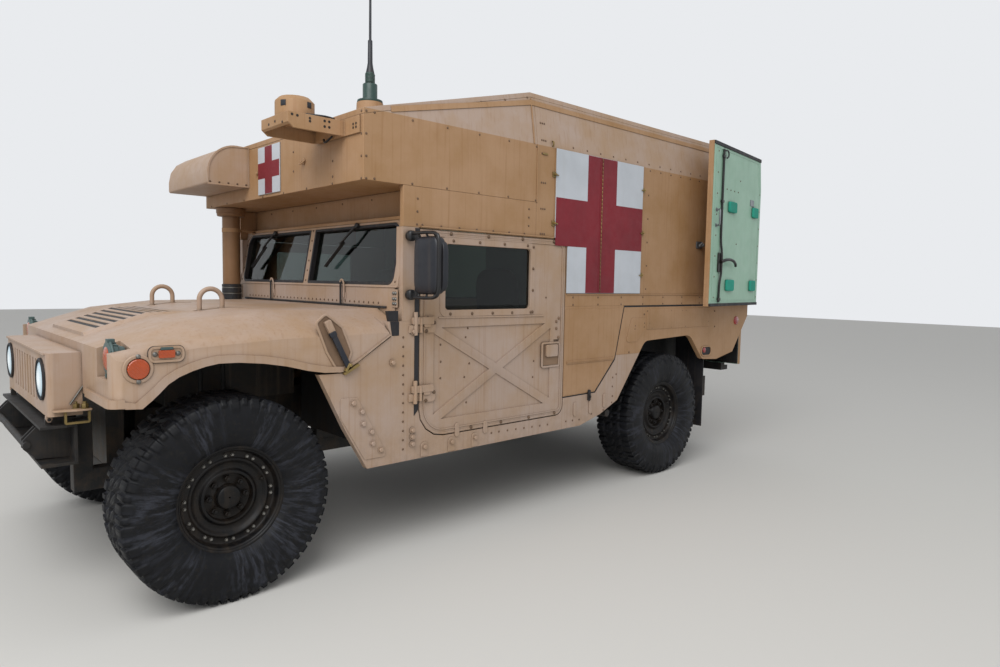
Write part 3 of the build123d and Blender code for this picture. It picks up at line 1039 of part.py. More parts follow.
ring += block((-RING_R + 15, RING_R - 15), (-14, 14), (0, 18))
ring += Pos(0, 0, -COLUMN_LENGTH) * extrude(RegularPolygon(COLUMN_R, 12, major_radius=False), COLUMN_LENGTH)
write("steering_wheel", steer_at * ring)

# Inside the box: litter benches on the wheel houses
BENCH_IN = WHEELHOUSE_X - 128
BENCH_FRONT = BULKHEAD_Y + 69
bench = block((BENCH_IN, BOX_IN - 10), (BENCH_FRONT, FLOOR_END - 40), (WHEELHOUSE_TOP, WHEELHOUSE_TOP + 60))
bench += block((BENCH_IN, BENCH_IN + 30), (BENCH_FRONT, FLOOR_END - 40), (FLOOR_REAR_LOW + TUB_T, WHEELHOUSE_TOP))
write("litter_benches", *both(bench))

# Rear doors: at rest swung right round along the sides, with pads, latch rod and lever on the inner face
DOOR_OPEN = 262
REAR_DOOR_LOW = BELT_Z - 9
REAR_DOOR_TOP = ROOF_Z - 54
DOOR_EDGE = 12
MEET_GAP = 5
inner_y = BODY_REAR + REAR_DOOR_GAP
edge_x = REAR_PIN_X - DOOR_EDGE
door_top_x = edge_x - lean_in * (REAR_DOOR_TOP - BREAK_Z)
rear_door = plate_y([(MEET_GAP, REAR_DOOR_LOW), (edge_x, REAR_DOOR_LOW), (edge_x, BREAK_Z),
                     (door_top_x, REAR_DOOR_TOP), (MEET_GAP, REAR_DOOR_TOP)], inner_y, REAR_PIN_Y)
for z in REAR_HINGE_ZS:
    leaf_z = (z + RUN_GAP, z + REAR_HINGE_H)
    rear_door += block((edge_x - 60, REAR_PIN_X), (REAR_PIN_Y, REAR_PIN_Y + 6), leaf_z)
    rear_door += rod((REAR_PIN_X, REAR_PIN_Y, leaf_z[0]), (REAR_PIN_X, REAR_PIN_Y, leaf_z[1]), REAR_PIN_R, 8)
PAD_T = 22
rear_pads = [
    # (x from, x to, z from, z to)
    (310, 465, 1410, 1500), (840, 960, 1410, 1500), (310, 465, 2030, 2115), (840, 960, 2030, 2115),
]
for x0, x1, z0, z1 in rear_pads:
    rear_door += block((x0, x1), (inner_y - PAD_T, inner_y), (z0, z1))
LATCH_X = 175
LATCH_Z = (1555, 1705)
rear_door += rod((LATCH_X, inner_y - 9, REAR_DOOR_LOW + 30), (LATCH_X, inner_y - 9, REAR_DOOR_TOP - 40), 9, 8)
rear_door += block((LATCH_X - 35, LATCH_X + 35), (inner_y - 24, inner_y), LATCH_Z)
rear_door += block((LATCH_X - 12, LATCH_X + 270), (inner_y - 40, inner_y - 20), (1625, 1650))
swing = Pos(REAR_PIN_X, REAR_PIN_Y, 0) * Rot(Z=-DOOR_OPEN) * Pos(-REAR_PIN_X, -REAR_PIN_Y, 0)
rear_door = swing * rear_door
write("rear_door_left", rear_door)
write("rear_door_right", flip(rear_door))

# Tailgate between the fenders, hinged at its foot
GATE_HALF = SIDE_IN - 8
GATE_LOW = 760
GATE_TOP = REAR_DOOR_LOW - 10
GATE_OUT = BODY_REAR - 5
GATE_T = 40
tailgate = block((-GATE_HALF, GATE_HALF), (GATE_OUT - GATE_T, GATE_OUT), (GATE_LOW, GATE_TOP))
for x in GATE_HINGE_XS:
    leaf = block((x - GATE_HINGE_W, x), (GATE_OUT - 3, GATE_PIN_Y - 3), (GATE_PIN_Z, GATE_LOW + 40))
    leaf += rod((x - GATE_HINGE_W, GATE_PIN_Y, GATE_PIN_Z), (x, GATE_PIN_Y, GATE_PIN_Z), GATE_PIN_R, 8)
    tailgate = fuse_both(tailgate, leaf)
write("tailgate", tailgate)
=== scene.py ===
"""Looks of a military ambulance truck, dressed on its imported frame.

Lengths are metres. The truck faces -Y and its left side is +X. Places come from the frame's nodes.
"""
import json

import bmesh
import bpy
import numpy as np
from mathutils import Matrix, Vector


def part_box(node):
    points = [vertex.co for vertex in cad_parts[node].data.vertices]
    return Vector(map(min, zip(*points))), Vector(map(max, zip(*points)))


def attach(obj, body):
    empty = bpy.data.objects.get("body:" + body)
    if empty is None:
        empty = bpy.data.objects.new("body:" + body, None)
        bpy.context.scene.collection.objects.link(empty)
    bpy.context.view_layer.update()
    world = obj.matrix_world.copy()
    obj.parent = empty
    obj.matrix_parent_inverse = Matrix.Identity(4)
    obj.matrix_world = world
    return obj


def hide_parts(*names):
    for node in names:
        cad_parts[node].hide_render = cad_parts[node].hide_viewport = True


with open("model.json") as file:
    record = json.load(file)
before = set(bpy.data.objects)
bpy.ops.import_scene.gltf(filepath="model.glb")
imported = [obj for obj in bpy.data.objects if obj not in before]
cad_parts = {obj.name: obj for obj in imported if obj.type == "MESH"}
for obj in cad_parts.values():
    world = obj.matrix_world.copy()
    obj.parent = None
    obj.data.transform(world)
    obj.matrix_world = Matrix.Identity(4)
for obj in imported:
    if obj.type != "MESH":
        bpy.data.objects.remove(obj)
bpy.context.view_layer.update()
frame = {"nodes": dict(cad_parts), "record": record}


# Set: a pale studio floor under one even sky, with a wide soft lamp above the camera's side.
# The camera stands low off the left front corner, with a wide lens, as the photograph was taken.
CAMERA_AT = Vector((4.006, -3.097, 1.446))
CAMERA_YAW, CAMERA_DIP, CAMERA_ROLL = np.radians((47.327, 4.286, 1.005))
CAMERA_LENS, CAMERA_SENSOR, CAMERA_REACH = 24.52, 36, 200
FLOOR_HALF, FLOOR_COLOUR, SKY_COLOUR = 30, "#D6D4CF", "#E9EBEE"
SKY_LIGHT, KEY_LIGHT, KEY_SIZE = 0.62, 620, 7
KEY_AT, KEY_AIM = Vector((4.5, -6.0, 7.5)), Vector((0, 0, 1.0))


def linear(code):
    """Linear RGBA of an sRGB hex colour: c / 12.92 up to 0.04045, else ((c + 0.055) / 1.055) ^ 2.4."""
    parts = [int(code[i:i + 2], 16) / 255 for i in (1, 3, 5)]
    return tuple(c / 12.92 if c <= 0.04045 else ((c + 0.055) / 1.055) ** 2.4 for c in parts) + (1,)


def put(tree, node, sockets):
    """Sets a node's inputs: an output is linked to its input, anything else is its value."""
    for name, value in sockets.items():
        if isinstance(value, bpy.types.NodeSocket):
            tree.links.new(value, node.inputs[name])
        else:
            node.inputs[name].default_value = value


def add(tree, kind, sockets=None, out=0, **settings):
    """Adds a shader node with its own settings and its inputs, and gives one of its outputs."""
    node = tree.nodes.new("ShaderNode" + kind)
    for name, value in settings.items():
        setattr(node, name, value)
    put(tree, node, sockets or {})
    return node.outputs[out]


def finish_of(name):
    """New material with its node tree and its Principled shader."""
    material = bpy.data.materials.new(name)
    material.use_nodes = True
    return material, material.node_tree, material.node_tree.nodes["Principled BSDF"]


def stood(name, data):
    """New object in the scene."""
    thing = bpy.data.objects.new(name, data)
    bpy.context.scene.collection.objects.link(thing)
    return thing


floor_paint, tree, shader = finish_of("pale studio floor")
put(tree, shader, {"Base Color": linear(FLOOR_COLOUR), "Roughness": 0.9})
floor_mesh = bpy.data.meshes.new("floor")
floor_corners = [(x * FLOOR_HALF, y * FLOOR_HALF, 0) for x, y in ((-1, -1), (1, -1), (1, 1), (-1, 1))]
floor_mesh.from_pydata(floor_corners, [], [(0, 1, 2, 3)])
floor_mesh.materials.append(floor_paint)
stood("floor", floor_mesh)

bpy.context.scene.world = bpy.data.worlds.new("even sky")
bpy.context.scene.world.use_nodes = True
tree = bpy.context.scene.world.node_tree
seen = add(tree, "LightPath", out="Is Camera Ray")
rays = seen.node.outputs
for ray in ("Is Transmission Ray", "Is Glossy Ray"):
    seen = add(tree, "Math", {0: seen, 1: rays[ray]}, operation="MAXIMUM")
strength = add(tree, "Mix", {"Factor": seen, "A": SKY_LIGHT, "B": 1.0})
put(tree, tree.nodes["Background"], {"Color": linear(SKY_COLOUR), "Strength": strength})

key = bpy.data.lights.new("key", "AREA")
key.energy, key.size = KEY_LIGHT, KEY_SIZE
aim = (KEY_AIM - KEY_AT).to_track_quat("-Z", "Y").to_matrix().to_4x4()
stood("key", key).matrix_world = Matrix.Translation(KEY_AT) @ aim

lens = bpy.data.cameras.new("camera")
lens.lens, lens.sensor_width, lens.clip_end = CAMERA_LENS, CAMERA_SENSOR, CAMERA_REACH
level = Vector((np.cos(CAMERA_YAW), np.sin(CAMERA_YAW), 0))
ahead = Vector((-np.sin(CAMERA_YAW), np.cos(CAMERA_YAW), 0)) * np.cos(CAMERA_DIP)
ahead.z = -np.sin(CAMERA_DIP)
upright = level.cross(ahead)
right = level * np.cos(CAMERA_ROLL) + upright * np.sin(CAMERA_ROLL)
up = upright * np.cos(CAMERA_ROLL) - level * np.sin(CAMERA_ROLL)
camera = stood("camera", lens)
camera.matrix_world = Matrix.Translation(CAMERA_AT) @ Matrix((right, up, -ahead)).transposed().to_4x4()
bpy.context.scene.camera = camera
bpy.context.scene.view_settings.view_transform = "Standard"


# Frame, bumpers and running gear: rolled and cast steel, sprayed matt black and left greasy.
# Each stays on the body that carries it and gets its edges broken, as rolled or cast edges are.
BODY_OF = {node: body for body, nodes in frame["record"]["behaviour"]["bodies"].items() for node in nodes}
# The last colour is painted shade, which coated lays into corners and creases.
MUD, DRY_DUST, RUN_STAIN, PAINTED_SHADE_COLOUR = "#5A4A39", "#8C7760", "#8C6238", "#2A2119"
MUD_DEPTH, SHADE_REACH = 0.6, 0.025
EDGE, SHARP = 0.003, 32


def coated(name, colour, shade, roughness, dusty=0.15, mud_top=0.3, mud=0.75, runs=0.0, dust=DRY_DUST,
           metallic=0.0, grain=0.0004):
    """Sprayed coat: cloudy between two tones, streaked down, muddy below mud_top and darkened in corners by
    painted shade.

    Cloud = noise of about 0.4 m; streak and runs = noise stretched to 20 and 40 times its width along Z;
    mud = noise times the height under mud_top; painted corner shade = the part of a 25 mm half sphere that
    is covered."""
    material, tree, shader = finish_of(name)
    at = add(tree, "TexCoord", out="Object")

    def patches(low, high, most, scale, detail, rough, stretch=None):
        """Noise, and its part between low and high, on coordinates that are stretched first if asked."""
        vector = add(tree, "Mapping", {"Vector": at, "Scale": stretch}) if stretch else at
        cloud = add(tree, "TexNoise", {"Vector": vector, "Scale": scale, "Detail": detail,
                                       "Roughness": rough})
        return cloud, add(tree, "MapRange", {0: cloud, 1: low, 2: high, 4: most})

    layers = [(patches(0.38, 0.66, 1.0, 2.4, 6.0, 0.62)[1], shade),
              (patches(0.52, 0.78, dusty, 1.0, 5.0, 0.7, (22, 22, 1.1))[1], dust)]
    if runs:
        layers.append((patches(0.54, 0.74, runs, 1.0, 4.0, 0.6, (60, 60, 1.5))[1], RUN_STAIN))
    splash, muddy = patches(0.42, 0.62, 1.0, 14.0, 8.0, 0.7)
    height = add(tree, "SeparateXYZ", {0: at}, out="Z")
    for factor in (add(tree, "MapRange", {0: height, 1: mud_top, 2: mud_top - MUD_DEPTH}), mud):
        muddy = add(tree, "Math", {0: muddy, 1: factor}, operation="MULTIPLY")
    # Painted shade: the colour darkens where a 25 mm half sphere round the point is covered.
    corner = add(tree, "AmbientOcclusion", {"Distance": SHADE_REACH}, out="AO", samples=4)
    corner_shade = add(tree, "MapRange", {0: corner, 1: 0.35, 2: 0.85, 3: 0.55, 4: 0.0})
    tone = linear(colour)
    for factor, over in layers + [(muddy, MUD), (corner_shade, PAINTED_SHADE_COLOUR)]:
        tone = add(tree, "Mix", {0: factor, 6: tone, 7: linear(over)}, out=2, data_type="RGBA")
    rough = add(tree, "MapRange", {0: splash, 1: 0.3, 2: 0.7, 3: roughness - 0.08, 4: roughness + 0.14})
    fine = add(tree, "TexNoise", {"Vector": at, "Scale": 180.0, "Detail": 3.0})
    bump = add(tree, "Bump", {"Height": fine, "Distance": grain, "Strength": 0.5})
    put(tree, shader, {"Base Color": tone, "Roughness": rough, "Normal": bump, "Metallic": metallic})
    return material


def placed(name, mesh, body, stands_for, edge, angle):
    """Object of a mesh with soft shading and rounded edges, riding on a body in place of the nodes."""
    mesh.shade_smooth()
    mesh.set_sharp_from_angle(angle=np.radians(angle))
    piece = stood(name, mesh)
    if edge:
        rounding = piece.modifiers.new("edges", "BEVEL")
        rounding.width, rounding.segments, rounding.limit_method = edge, 2, "ANGLE"
        rounding.angle_limit, rounding.harden_normals = np.radians(SHARP), True
    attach(piece, body)
    if stands_for:
        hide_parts(*stands_for)
    return piece


def dressed(node, *materials, edge=EDGE, choose=None):
    """A CAD node's faces, merged at their corners and with rounded edges, standing for the node.

    choose gives the material of each face from arrays of face centres and normals."""
    mesh = frame["nodes"][node].data.copy()
    mesh.materials.clear()
    for material in materials:
        mesh.materials.append(material)
    form = bmesh.new()
    form.from_mesh(mesh)
    bmesh.ops.remove_doubles(form, verts=form.verts, dist=1e-5)
    bmesh.ops.dissolve_limit(form, angle_limit=0.01, verts=form.verts, edges=form.edges)
    form.to_mesh(mesh)
    form.free()
    count = len(mesh.polygons)
    chosen = np.zeros(count)
    if choose:
        centres, normals = np.zeros(count * 3), np.zeros(count * 3)
        mesh.polygons.foreach_get("center", centres)
        mesh.polygons.foreach_get("normal", normals)
        chosen = choose(centres.reshape(-1, 3), normals.reshape(-1, 3))
    mesh.polygons.foreach_set("material_index", np.asarray(chosen, dtype=np.int32))
    placed(node + "_finished", mesh, BODY_OF[node], [node], edge, SHARP)


black_steel = coated("matt black paint on rolled steel", "#0E0F11", "#18191A", 0.6, 0.1, 0.9, 0.5)
cast_steel = coated("oily cast iron", "#2E2D2B", "#2A2927", 0.6, 0.4, 1.1, grain=0.002)
for node in ("chassis_rails", "crossmembers", "front_bumper", "rear_bumper", "suspension_arms", "exhaust"):
    dressed(node, black_steel)
for node in ("engine", "driveline", "rear_hubs", "knuckle_left", "knuckle_right", "radiator"):
    dressed(node, cast_steel)


# Tyres: moulded black rubber, worn and dusty, with staggered centre blocks and long shoulder blocks.
# The side has one thin ring under the blocks and smooth dusty rubber down to the bead.
tyre_low, tyre_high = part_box("tyre_front_left")
AXLE_Z = (tyre_low.z + tyre_high.z) / 2
TYRE_R = (tyre_high.z - tyre_low.z) / 2
TYRE_HALF = (tyre_high.x - tyre_low.x) / 2
RIM_R, CROWN_R, FIRST_BLOCK_R = 0.232, 0.4482, 0.395
TREAD_DEPTH, TYRE_TURNS = 0.014, 660
SHOULDER_BLOCKS, CENTRE_BLOCKS = 60, 44
# (distance from the middle, radius) up the flank, then over the crown
FLANK = [(0.112, RIM_R), (0.128, 0.246), (0.14, 0.262), (0.1545, 0.3), (0.157, 0.335), (0.1555, 0.375),
         (0.1495, 0.412), (0.1455, 0.425), (0.139, 0.438)]
CROWN = [(0.137, 0.4405), (0.128, 0.4462), (0.095, CROWN_R), (0.05, 0.4495), (0, 0.45)]
BEAD = [(-0.105, RIM_R - 0.004), (0.105, RIM_R - 0.004)]


def smoothed(points, count):
    """Curve through points, evenly stepped: each span is the cubic whose end slopes join its neighbours."""
    points = np.asarray(points, dtype=float)
    padded = np.vstack([2 * points[0] - points[1], points, 2 * points[-1] - points[-2]])
    t = np.linspace(0, len(points) - 1, count)
    span = np.minimum(t.astype(int), len(points) - 2)
    u = (t - span)[:, None]
    a, b, c, d = (padded[span + i] for i in range(4))
    square, cube = 2 * a - 5 * b + 4 * c - d, 3 * b - a - 3 * c + d
    return 0.5 * (2 * b + (c - a) * u + square * u ** 2 + cube * u ** 3)


def skin(rings, around=False):
    """Vertices and faces over closed loops: each row joins the next, and around joins last to first."""
    rows, columns = rings.shape[:2]
    index = np.arange(rows * columns).reshape(rows, columns)
    below, above = (index, np.roll(index, -1, axis=0)) if around else (index[:-1], index[1:])
    quads = np.stack([below, np.roll(below, -1, axis=1), np.roll(above, -1, axis=1), above], axis=-1)
    faces = quads.reshape(-1, 4).tolist()
    if not around:
        faces += [index[0][::-1].tolist(), index[-1].tolist()]
    return rings.reshape(-1, 3), faces


def circle(x, radius, turns):
    """Points at the given parts of a turn about X: (x, radius times cosine, radius times sine)."""
    angle = 2 * np.pi * np.asarray(turns)
    return np.stack(np.broadcast_arrays(x, radius * np.cos(angle), radius * np.sin(angle)), axis=-1)


def joined(shapes):
    """One list of vertices and faces out of several."""
    vertices, faces, start = [], [], 0
    for points, loops in shapes:
        vertices.append(points)
        faces += [[corner + start for corner in loop] for loop in loops]
        start += len(points)
    return np.vstack(vertices), faces


def piece_of(name, shapes, material, body="truck", stands_for=(), edge=0, angle=35):
    """Object made of closed shapes, riding on a body, and standing for the nodes that it replaces."""
    vertices, faces = joined(shapes)
    mesh = bpy.data.meshes.new(name)
    mesh.from_pydata(vertices.tolist(), [], faces)
    form = bmesh.new()
    form.from_mesh(mesh)
    bmesh.ops.recalc_face_normals(form, faces=form.faces)
    form.to_mesh(mesh)
    form.free()
    mesh.materials.append(material)
    return placed(name, mesh, body, stands_for, edge, angle)


def rise(value, low, high):
    """0 below low, 1 above high, and 3 t^2 - 2 t^3 between."""
    t = np.clip((value - low) / (high - low), 0, 1)
    return t * t * (3 - 2 * t)


def block(phase, gap, soft):
    """1 on a block and 0 in the gap at each whole phase, with soft flanks."""
    return rise(np.abs(phase - np.round(phase)), gap, gap + soft)


def tread(turn, x, depth_down):
    """Height of the rubber over the groove floor, 0 to 1, at a turn (0 to 1), x and the way down the side.

    Centre: two rows of blocks, slanted and half a pitch apart. Shoulder: straight blocks, every second one
    wider and reaching further down the side."""
    across = np.abs(x) / TYRE_HALF
    middle = rise(np.abs(x + 0.006 * np.sin(2 * np.pi * turn * CENTRE_BLOCKS)), 0.003, 0.008)
    middle = middle * (1 - rise(across, 0.36, 0.42))
    middle = middle * block(turn * CENTRE_BLOCKS + np.sign(x) * 0.25 + x * 9, 0.13, 0.07)
    middle = middle * (block(turn * CENTRE_BLOCKS * 2 + x * 30, 0.06, 0.06) * 0.35 + 0.65)
    pair = turn * SHOULDER_BLOCKS / 2 + np.sign(x) * 0.25
    wide = block(pair, 0.06, 0.05) * block(pair - 0.42, 0.05, 0.05)
    reach = 0.02 + 0.022 * block(pair - 0.21, 0.21, 0.02)
    outer = rise(across, 0.46, 0.52) * wide * (1 - rise(depth_down, reach, reach + 0.007))
    return np.maximum(middle, outer)


def tyre_form(side):
    """Rings of one tyre, turns by profile points, with each point's block height.

    A point = the smooth profile, pushed out along its normal by two thin ribs and the tread's blocks."""
    half = np.vstack([smoothed(FLANK, 24), smoothed(CROWN, 27)])
    profile = np.vstack([half, half[-2::-1] * (-1, 1), BEAD])
    x, r = profile.T
    slope = np.gradient(profile, axis=0)
    normal = np.stack([-slope[:, 1], slope[:, 0]], axis=1) / np.linalg.norm(slope, axis=1)[:, None]
    normal *= np.sign(normal[:, 1] * (r - 0.36) + normal[:, 0] * x)[:, None] + 1e-9
    turn = np.linspace(0, 1, TYRE_TURNS, endpoint=False)[:, None]
    raised = tread(turn, x[None], np.maximum(CROWN_R - r, 0)[None]) * (r > FIRST_BLOCK_R)
    rib = 0.003 * np.exp(-((r - 0.402) / 0.0035) ** 2) + 0.002 * np.exp(-((r - 0.262) / 0.004) ** 2)
    lift = raised * TREAD_DEPTH * np.where(np.abs(x) > 0.134, 0.55, 1.0) + rib
    across, out = side * (x + normal[:, 0] * lift), np.minimum(r + normal[:, 1] * lift, TYRE_R)
    return circle(across, out, turn), raised


rubber, tree, shader = finish_of("worn tyre rubber with dried mud")
around = add(tree, "Attribute", out="Vector", attribute_name="around")
raised = add(tree, "Attribute", out="Fac", attribute_name="raised")
smear = add(tree, "TexNoise", {"Vector": around, "Scale": 1.0, "Detail": 7.0, "Roughness": 0.72})
patch = add(tree, "TexNoise", {"Vector": around, "Scale": 0.14, "Detail": 3.0})
muddied = add(tree, "MapRange", {0: smear, 1: 0.46, 2: 0.6, 4: 0.8})
for factor in (add(tree, "MapRange", {0: patch, 1: 0.44, 2: 0.58, 3: 0.12}),
               add(tree, "MapRange", {0: raised, 1: 0.0, 2: 1.0, 3: 1.0, 4: 0.25})):
    muddied = add(tree, "Math", {0: muddied, 1: factor}, operation="MULTIPLY")
spots = add(tree, "TexNoise", {"Vector": add(tree, "TexCoord", out="Object"), "Scale": 55.0, "Detail": 6.0})
caked = add(tree, "MapRange", {0: spots, 1: 0.55, 2: 0.72, 4: 0.5})
tone = linear("#08090D")
for factor, over in ((muddied, "#3A3C44"), (caked, "#211E1A")):
    tone = add(tree, "Mix", {0: factor, 6: tone, 7: linear(over)}, out=2, data_type="RGBA")
put(tree, shader, {"Base Color": tone, "Specular IOR Level": 0.25,
                   "Roughness": add(tree, "MapRange", {0: smear, 1: 0.35, 2: 0.65, 3: 0.42, 4: 0.8}),
                   "Normal": add(tree, "Bump", {"Height": spots, "Distance": 0.001, "Strength": 0.5})})

CORNERS = []
for end in ("front", "rear"):
    for hand, side in (("left", 1), ("right", -1)):
        low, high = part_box(f"tyre_{end}_{hand}")
        middle = np.array([(low.x + high.x) / 2, (low.y + high.y) / 2, AXLE_Z])
        CORNERS.append((f"{end}_{hand}", side, middle))
for corner, side, middle in CORNERS:
    rings, heights = tyre_form(side)
    tyre = piece_of("rubber_" + corner, [skin(rings + middle, around=True)], rubber, "wheel_" + corner,
                    ["tyre_" + corner], angle=60)
    x, y, z = rings.reshape(-1, 3).T
    r = np.hypot(y, z)
    polar = np.stack([y / r * 16, z / r * 16, r * 9 + x], axis=1)
    for name, kind, key, values in (("raised", "FLOAT", "value", heights),
                                    ("around", "FLOAT_VECTOR", "vector", polar)):
        attribute = tyre.data.attributes.new(name, kind, "POINT")
        attribute.data.foreach_set(key, values.ravel().astype(np.float32))


# Wheels: two-piece pressed steel, painted black, with a double-ridged flange and a deep disc.
# A ring of bolts in pairs clamps the two halves, and eight nuts hold the disc to the hub.
RIM_PROFILE = [
    # (x from the middle, radius) round the section, outside face first
    (0.1, 0.2325), (0.112, 0.233), (0.117, 0.239), (0.12, 0.239), (0.121, 0.234), (0.117, 0.228),
    (0.113, 0.226), (0.112, 0.221), (0.105, 0.217), (0.095, 0.214), (0.08, 0.211), (0.0755, 0.207),
    (0.0745, 0.202), (0.0745, 0.184), (0.077, 0.18), (0.0815, 0.177), (0.0825, 0.172), (0.08, 0.167),
    (0.068, 0.16), (0.062, 0.15), (0.06, 0.135), (0.064, 0.128), (0.074, 0.123), (0.078, 0.117),
    (0.076, 0.11), (0.06, 0.106), (0.048, 0.104), (0.046, 0.098), (0.046, 0.06), (0.05, 0.056),
    (0.078, 0.053), (0.083, 0.048), (0.084, 0.03), (0.084, 0.004), (0.06, 0.004), (0.06, 0.046),
    (0.034, 0.046), (0.034, 0.195), (-0.112, 0.214), (-0.118, 0.226), (-0.112, 0.232),
]
RIM_TURNS = 96
CLAMP_PAIRS, CLAMP_GAP, CLAMP_R, CLAMP_X = 12, 0.013, 0.193, 0.0745
NUTS, NUT_R, NUT_X = 8, 0.082, 0.046
OUTWARD, FORWARD, BACKWARD, UPWARD = (1, 0, 0), (0, -1, 0), (0, 1, 0), (0, 0, 1)


def basis(axis, hint=UPWARD):
    """Rows of a turned frame whose first row lies along axis."""
    first = np.asarray(axis, float) / np.linalg.norm(axis)
    second = np.cross(hint, first)
    if np.linalg.norm(second) < 1e-6:
        second = np.cross(BACKWARD, first)
    second /= np.linalg.norm(second)
    return np.array([first, second, np.cross(first, second)])


def turned(profile, centre=(0, 0, 0), axis=OUTWARD, steps=16, start=0.0, closed=False):
    """Solid turned about axis through centre: each (distance, radius) of the profile is one ring.

    A closed profile joins its last ring to its first, which makes a hoop."""
    along, radius = np.asarray(profile, float).T
    rings = circle(along[:, None], radius[:, None], (np.arange(steps) + start) / steps)
    return skin(rings @ basis(axis) + np.asarray(centre), around=closed)


def scattered(shape, places, axis=OUTWARD):
    """Copies of a shape made about X at the origin, turned to axis and put at each place."""
    points, faces = shape
    places = np.asarray(places, float)
    vertices = ((points @ basis(axis))[None] + places[:, None]).reshape(-1, 3)
    starts = range(0, len(vertices), len(points))
    return vertices, [[corner + start for corner in loop] for start in starts for loop in faces]


bolt_shape = turned([(0, 0.0085), (0.002, 0.0085), (0.002, 0.0062), (0.009, 0.0062), (0.01, 0.005)], steps=6)
nut_shape = joined([turned([(0, 0.017), (0.003, 0.017)]),
                    turned([(0.003, 0.0145), (0.019, 0.0145), (0.021, 0.012)], steps=6),
                    turned([(0.02, 0.008), (0.03, 0.008), (0.031, 0.006)], steps=10)])
wheel_paint = coated("black stove enamel on pressed steel", "#060709", "#0B0B0E", 0.42, 0.1, 1.0, 0.1)
wheel_paint.node_tree.nodes["Principled BSDF"].inputs["Specular IOR Level"].default_value = 0.25
bolt_steel = coated("bare steel bolts, dulled", "#8F8D88", "#5D5B57", 0.45, 0.3, 0.2, metallic=0.8)
pairs = np.repeat(np.arange(CLAMP_PAIRS) / CLAMP_PAIRS, 2) + np.tile([-CLAMP_GAP, CLAMP_GAP], CLAMP_PAIRS)
for corner, side, middle in CORNERS:
    x, r = np.array(RIM_PROFILE).T
    rim = circle(side * x, r, np.arange(RIM_TURNS)[:, None] / RIM_TURNS)
    vent = turned([(0, 0.006), (0.02, 0.006), (0.022, 0.004)], middle + (side * 0.075, 0.14, 0.06),
                  (side, 0.4, 0.2), 8)
    clamps = circle(side * CLAMP_X, CLAMP_R, pairs)
    nuts = circle(side * NUT_X, NUT_R, np.arange(NUTS) / NUTS)
    body = "wheel_" + corner
    piece_of("rim_" + corner, [skin(rim + middle, around=True), vent], wheel_paint, body, [body],
             angle=50)
    for name, shape, places, metal in (("clamp_bolts_", bolt_shape, clamps, bolt_steel),
                                       ("hub_nuts_", nut_shape, nuts, wheel_paint)):
        piece_of(name + corner, [scattered(shape, places + middle, (side, 0, 0))], metal, body)


# Springs: wound steel coils round their dampers, painted black, seated on the arms and under the towers.
# The damper is a plain tube with a thinner rod above it.
COIL_TURNS, COIL_R, WIRE_R, DAMPER_R, ROD_R = 6, 0.042, 0.008, 0.024, 0.012
SPRING_IN, SPRING_ALONG = 0.052, 0.15


def tube(points, radius, steps=8, hint=UPWARD):
    """Round bar along points: each point gets a circle square to the path's direction there."""
    points = np.asarray(points, float)
    run = np.gradient(points, axis=0)
    run /= np.linalg.norm(run, axis=1)[:, None]
    first = np.cross(run, np.asarray(hint, float))
    first /= np.linalg.norm(first, axis=1)[:, None] + 1e-12
    second = np.cross(run, first)
    angle = 2 * np.pi * np.arange(steps) / steps
    radius = np.broadcast_to(radius, len(points))[:, None, None]
    circles = first[:, None] * np.cos(angle)[:, None] + second[:, None] * np.sin(angle)[:, None]
    return skin(points[:, None] + radius * circles)


def wound(centre, radius, turns, steps, height):
    """Points of a helix about Z: (radius times cosine, radius times sine, height) over its turns."""
    t = np.linspace(0, 1, steps)
    angle = 2 * np.pi * turns * t
    return np.stack([radius * np.cos(angle), radius * np.sin(angle), height * t], axis=1) + centre


low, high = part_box("spring_struts")
height = high.z - low.z
springs = []
for corner, side, middle in CORNERS:
    inward = 1 if corner.startswith("front") else -1
    foot = np.array([side * (high.x - SPRING_IN), middle[1] + inward * SPRING_ALONG, low.z])
    coil = wound(foot + (0, 0, WIRE_R), COIL_R, COIL_TURNS, COIL_TURNS * 24, height - 2 * WIRE_R)
    damper = [(0, 0.03), (0.01, 0.03), (0.012, DAMPER_R), (height * 0.6, DAMPER_R), (height * 0.61, ROD_R),
              (height, ROD_R)]
    springs += [tube(coil, WIRE_R), turned(damper, foot, UPWARD)]
piece_of("coil_springs", springs, black_steel, stands_for=["spring_struts"], angle=60)


# Body panels: riveted aluminium and moulded glass fibre under matt sand paint, chalky and rain-stained.
# The box has gone ochre where rain runs down it. Rubber strips seal its seams to the fenders.
PAINT_DUST = "#A5845F"
sand = coated("matt sand paint on moulded glass fibre", "#B19B8C", "#A98B6E", 0.5, 0.3, 0.75, 0.4, 0.3,
              PAINT_DUST)
box_sand = coated("matt sand paint on riveted aluminium", "#AD8967", "#9E784F", 0.55, 0.3, 0.75, 0.3, 0.45,
                  PAINT_DUST)
pale_green = coated("pale green enamel", "#9DC3AC", "#93B8A1", 0.38, 0.2, 0.2, dust="#7E9C88")
seal_rubber = coated("black rubber seal", "#15151A", "#201F22", 0.6, 0.2, 0.8, 0.4)
WALL_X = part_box("overhang")[1].x
FRONT_Y, BACK_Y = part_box("overhang")[0].y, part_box("rear_frame")[1].y
INNER_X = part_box("rear_frame")[1].x + 0.002
WHEELHOUSE_IN, LINING_FOOT = 0.7, 1.09
FOLD_Z, ROOF_Z, PEAK_Y = 2.283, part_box("box_roof")[1].z, -0.131


def wall_finish(centres, normals):
    """Green on faces that look inward inside the walls, and paler paint above the fold than below it."""
    inward = (np.abs(centres[:, 0]) < INNER_X) & (normals[:, 0] * np.sign(centres[:, 0]) < -0.3)
    return np.where(inward, 2, np.where(centres[:, 2] > FOLD_Z, 1, 0))


def floor_finish(centres, normals):
    """Green on the floor and on the wheel houses' inner sides, black underneath and in the arches."""
    inward = (normals[:, 0] * np.sign(centres[:, 0]) < -0.5) & (np.abs(centres[:, 0]) < WHEELHOUSE_IN)
    return (normals[:, 2] > 0.5) | inward


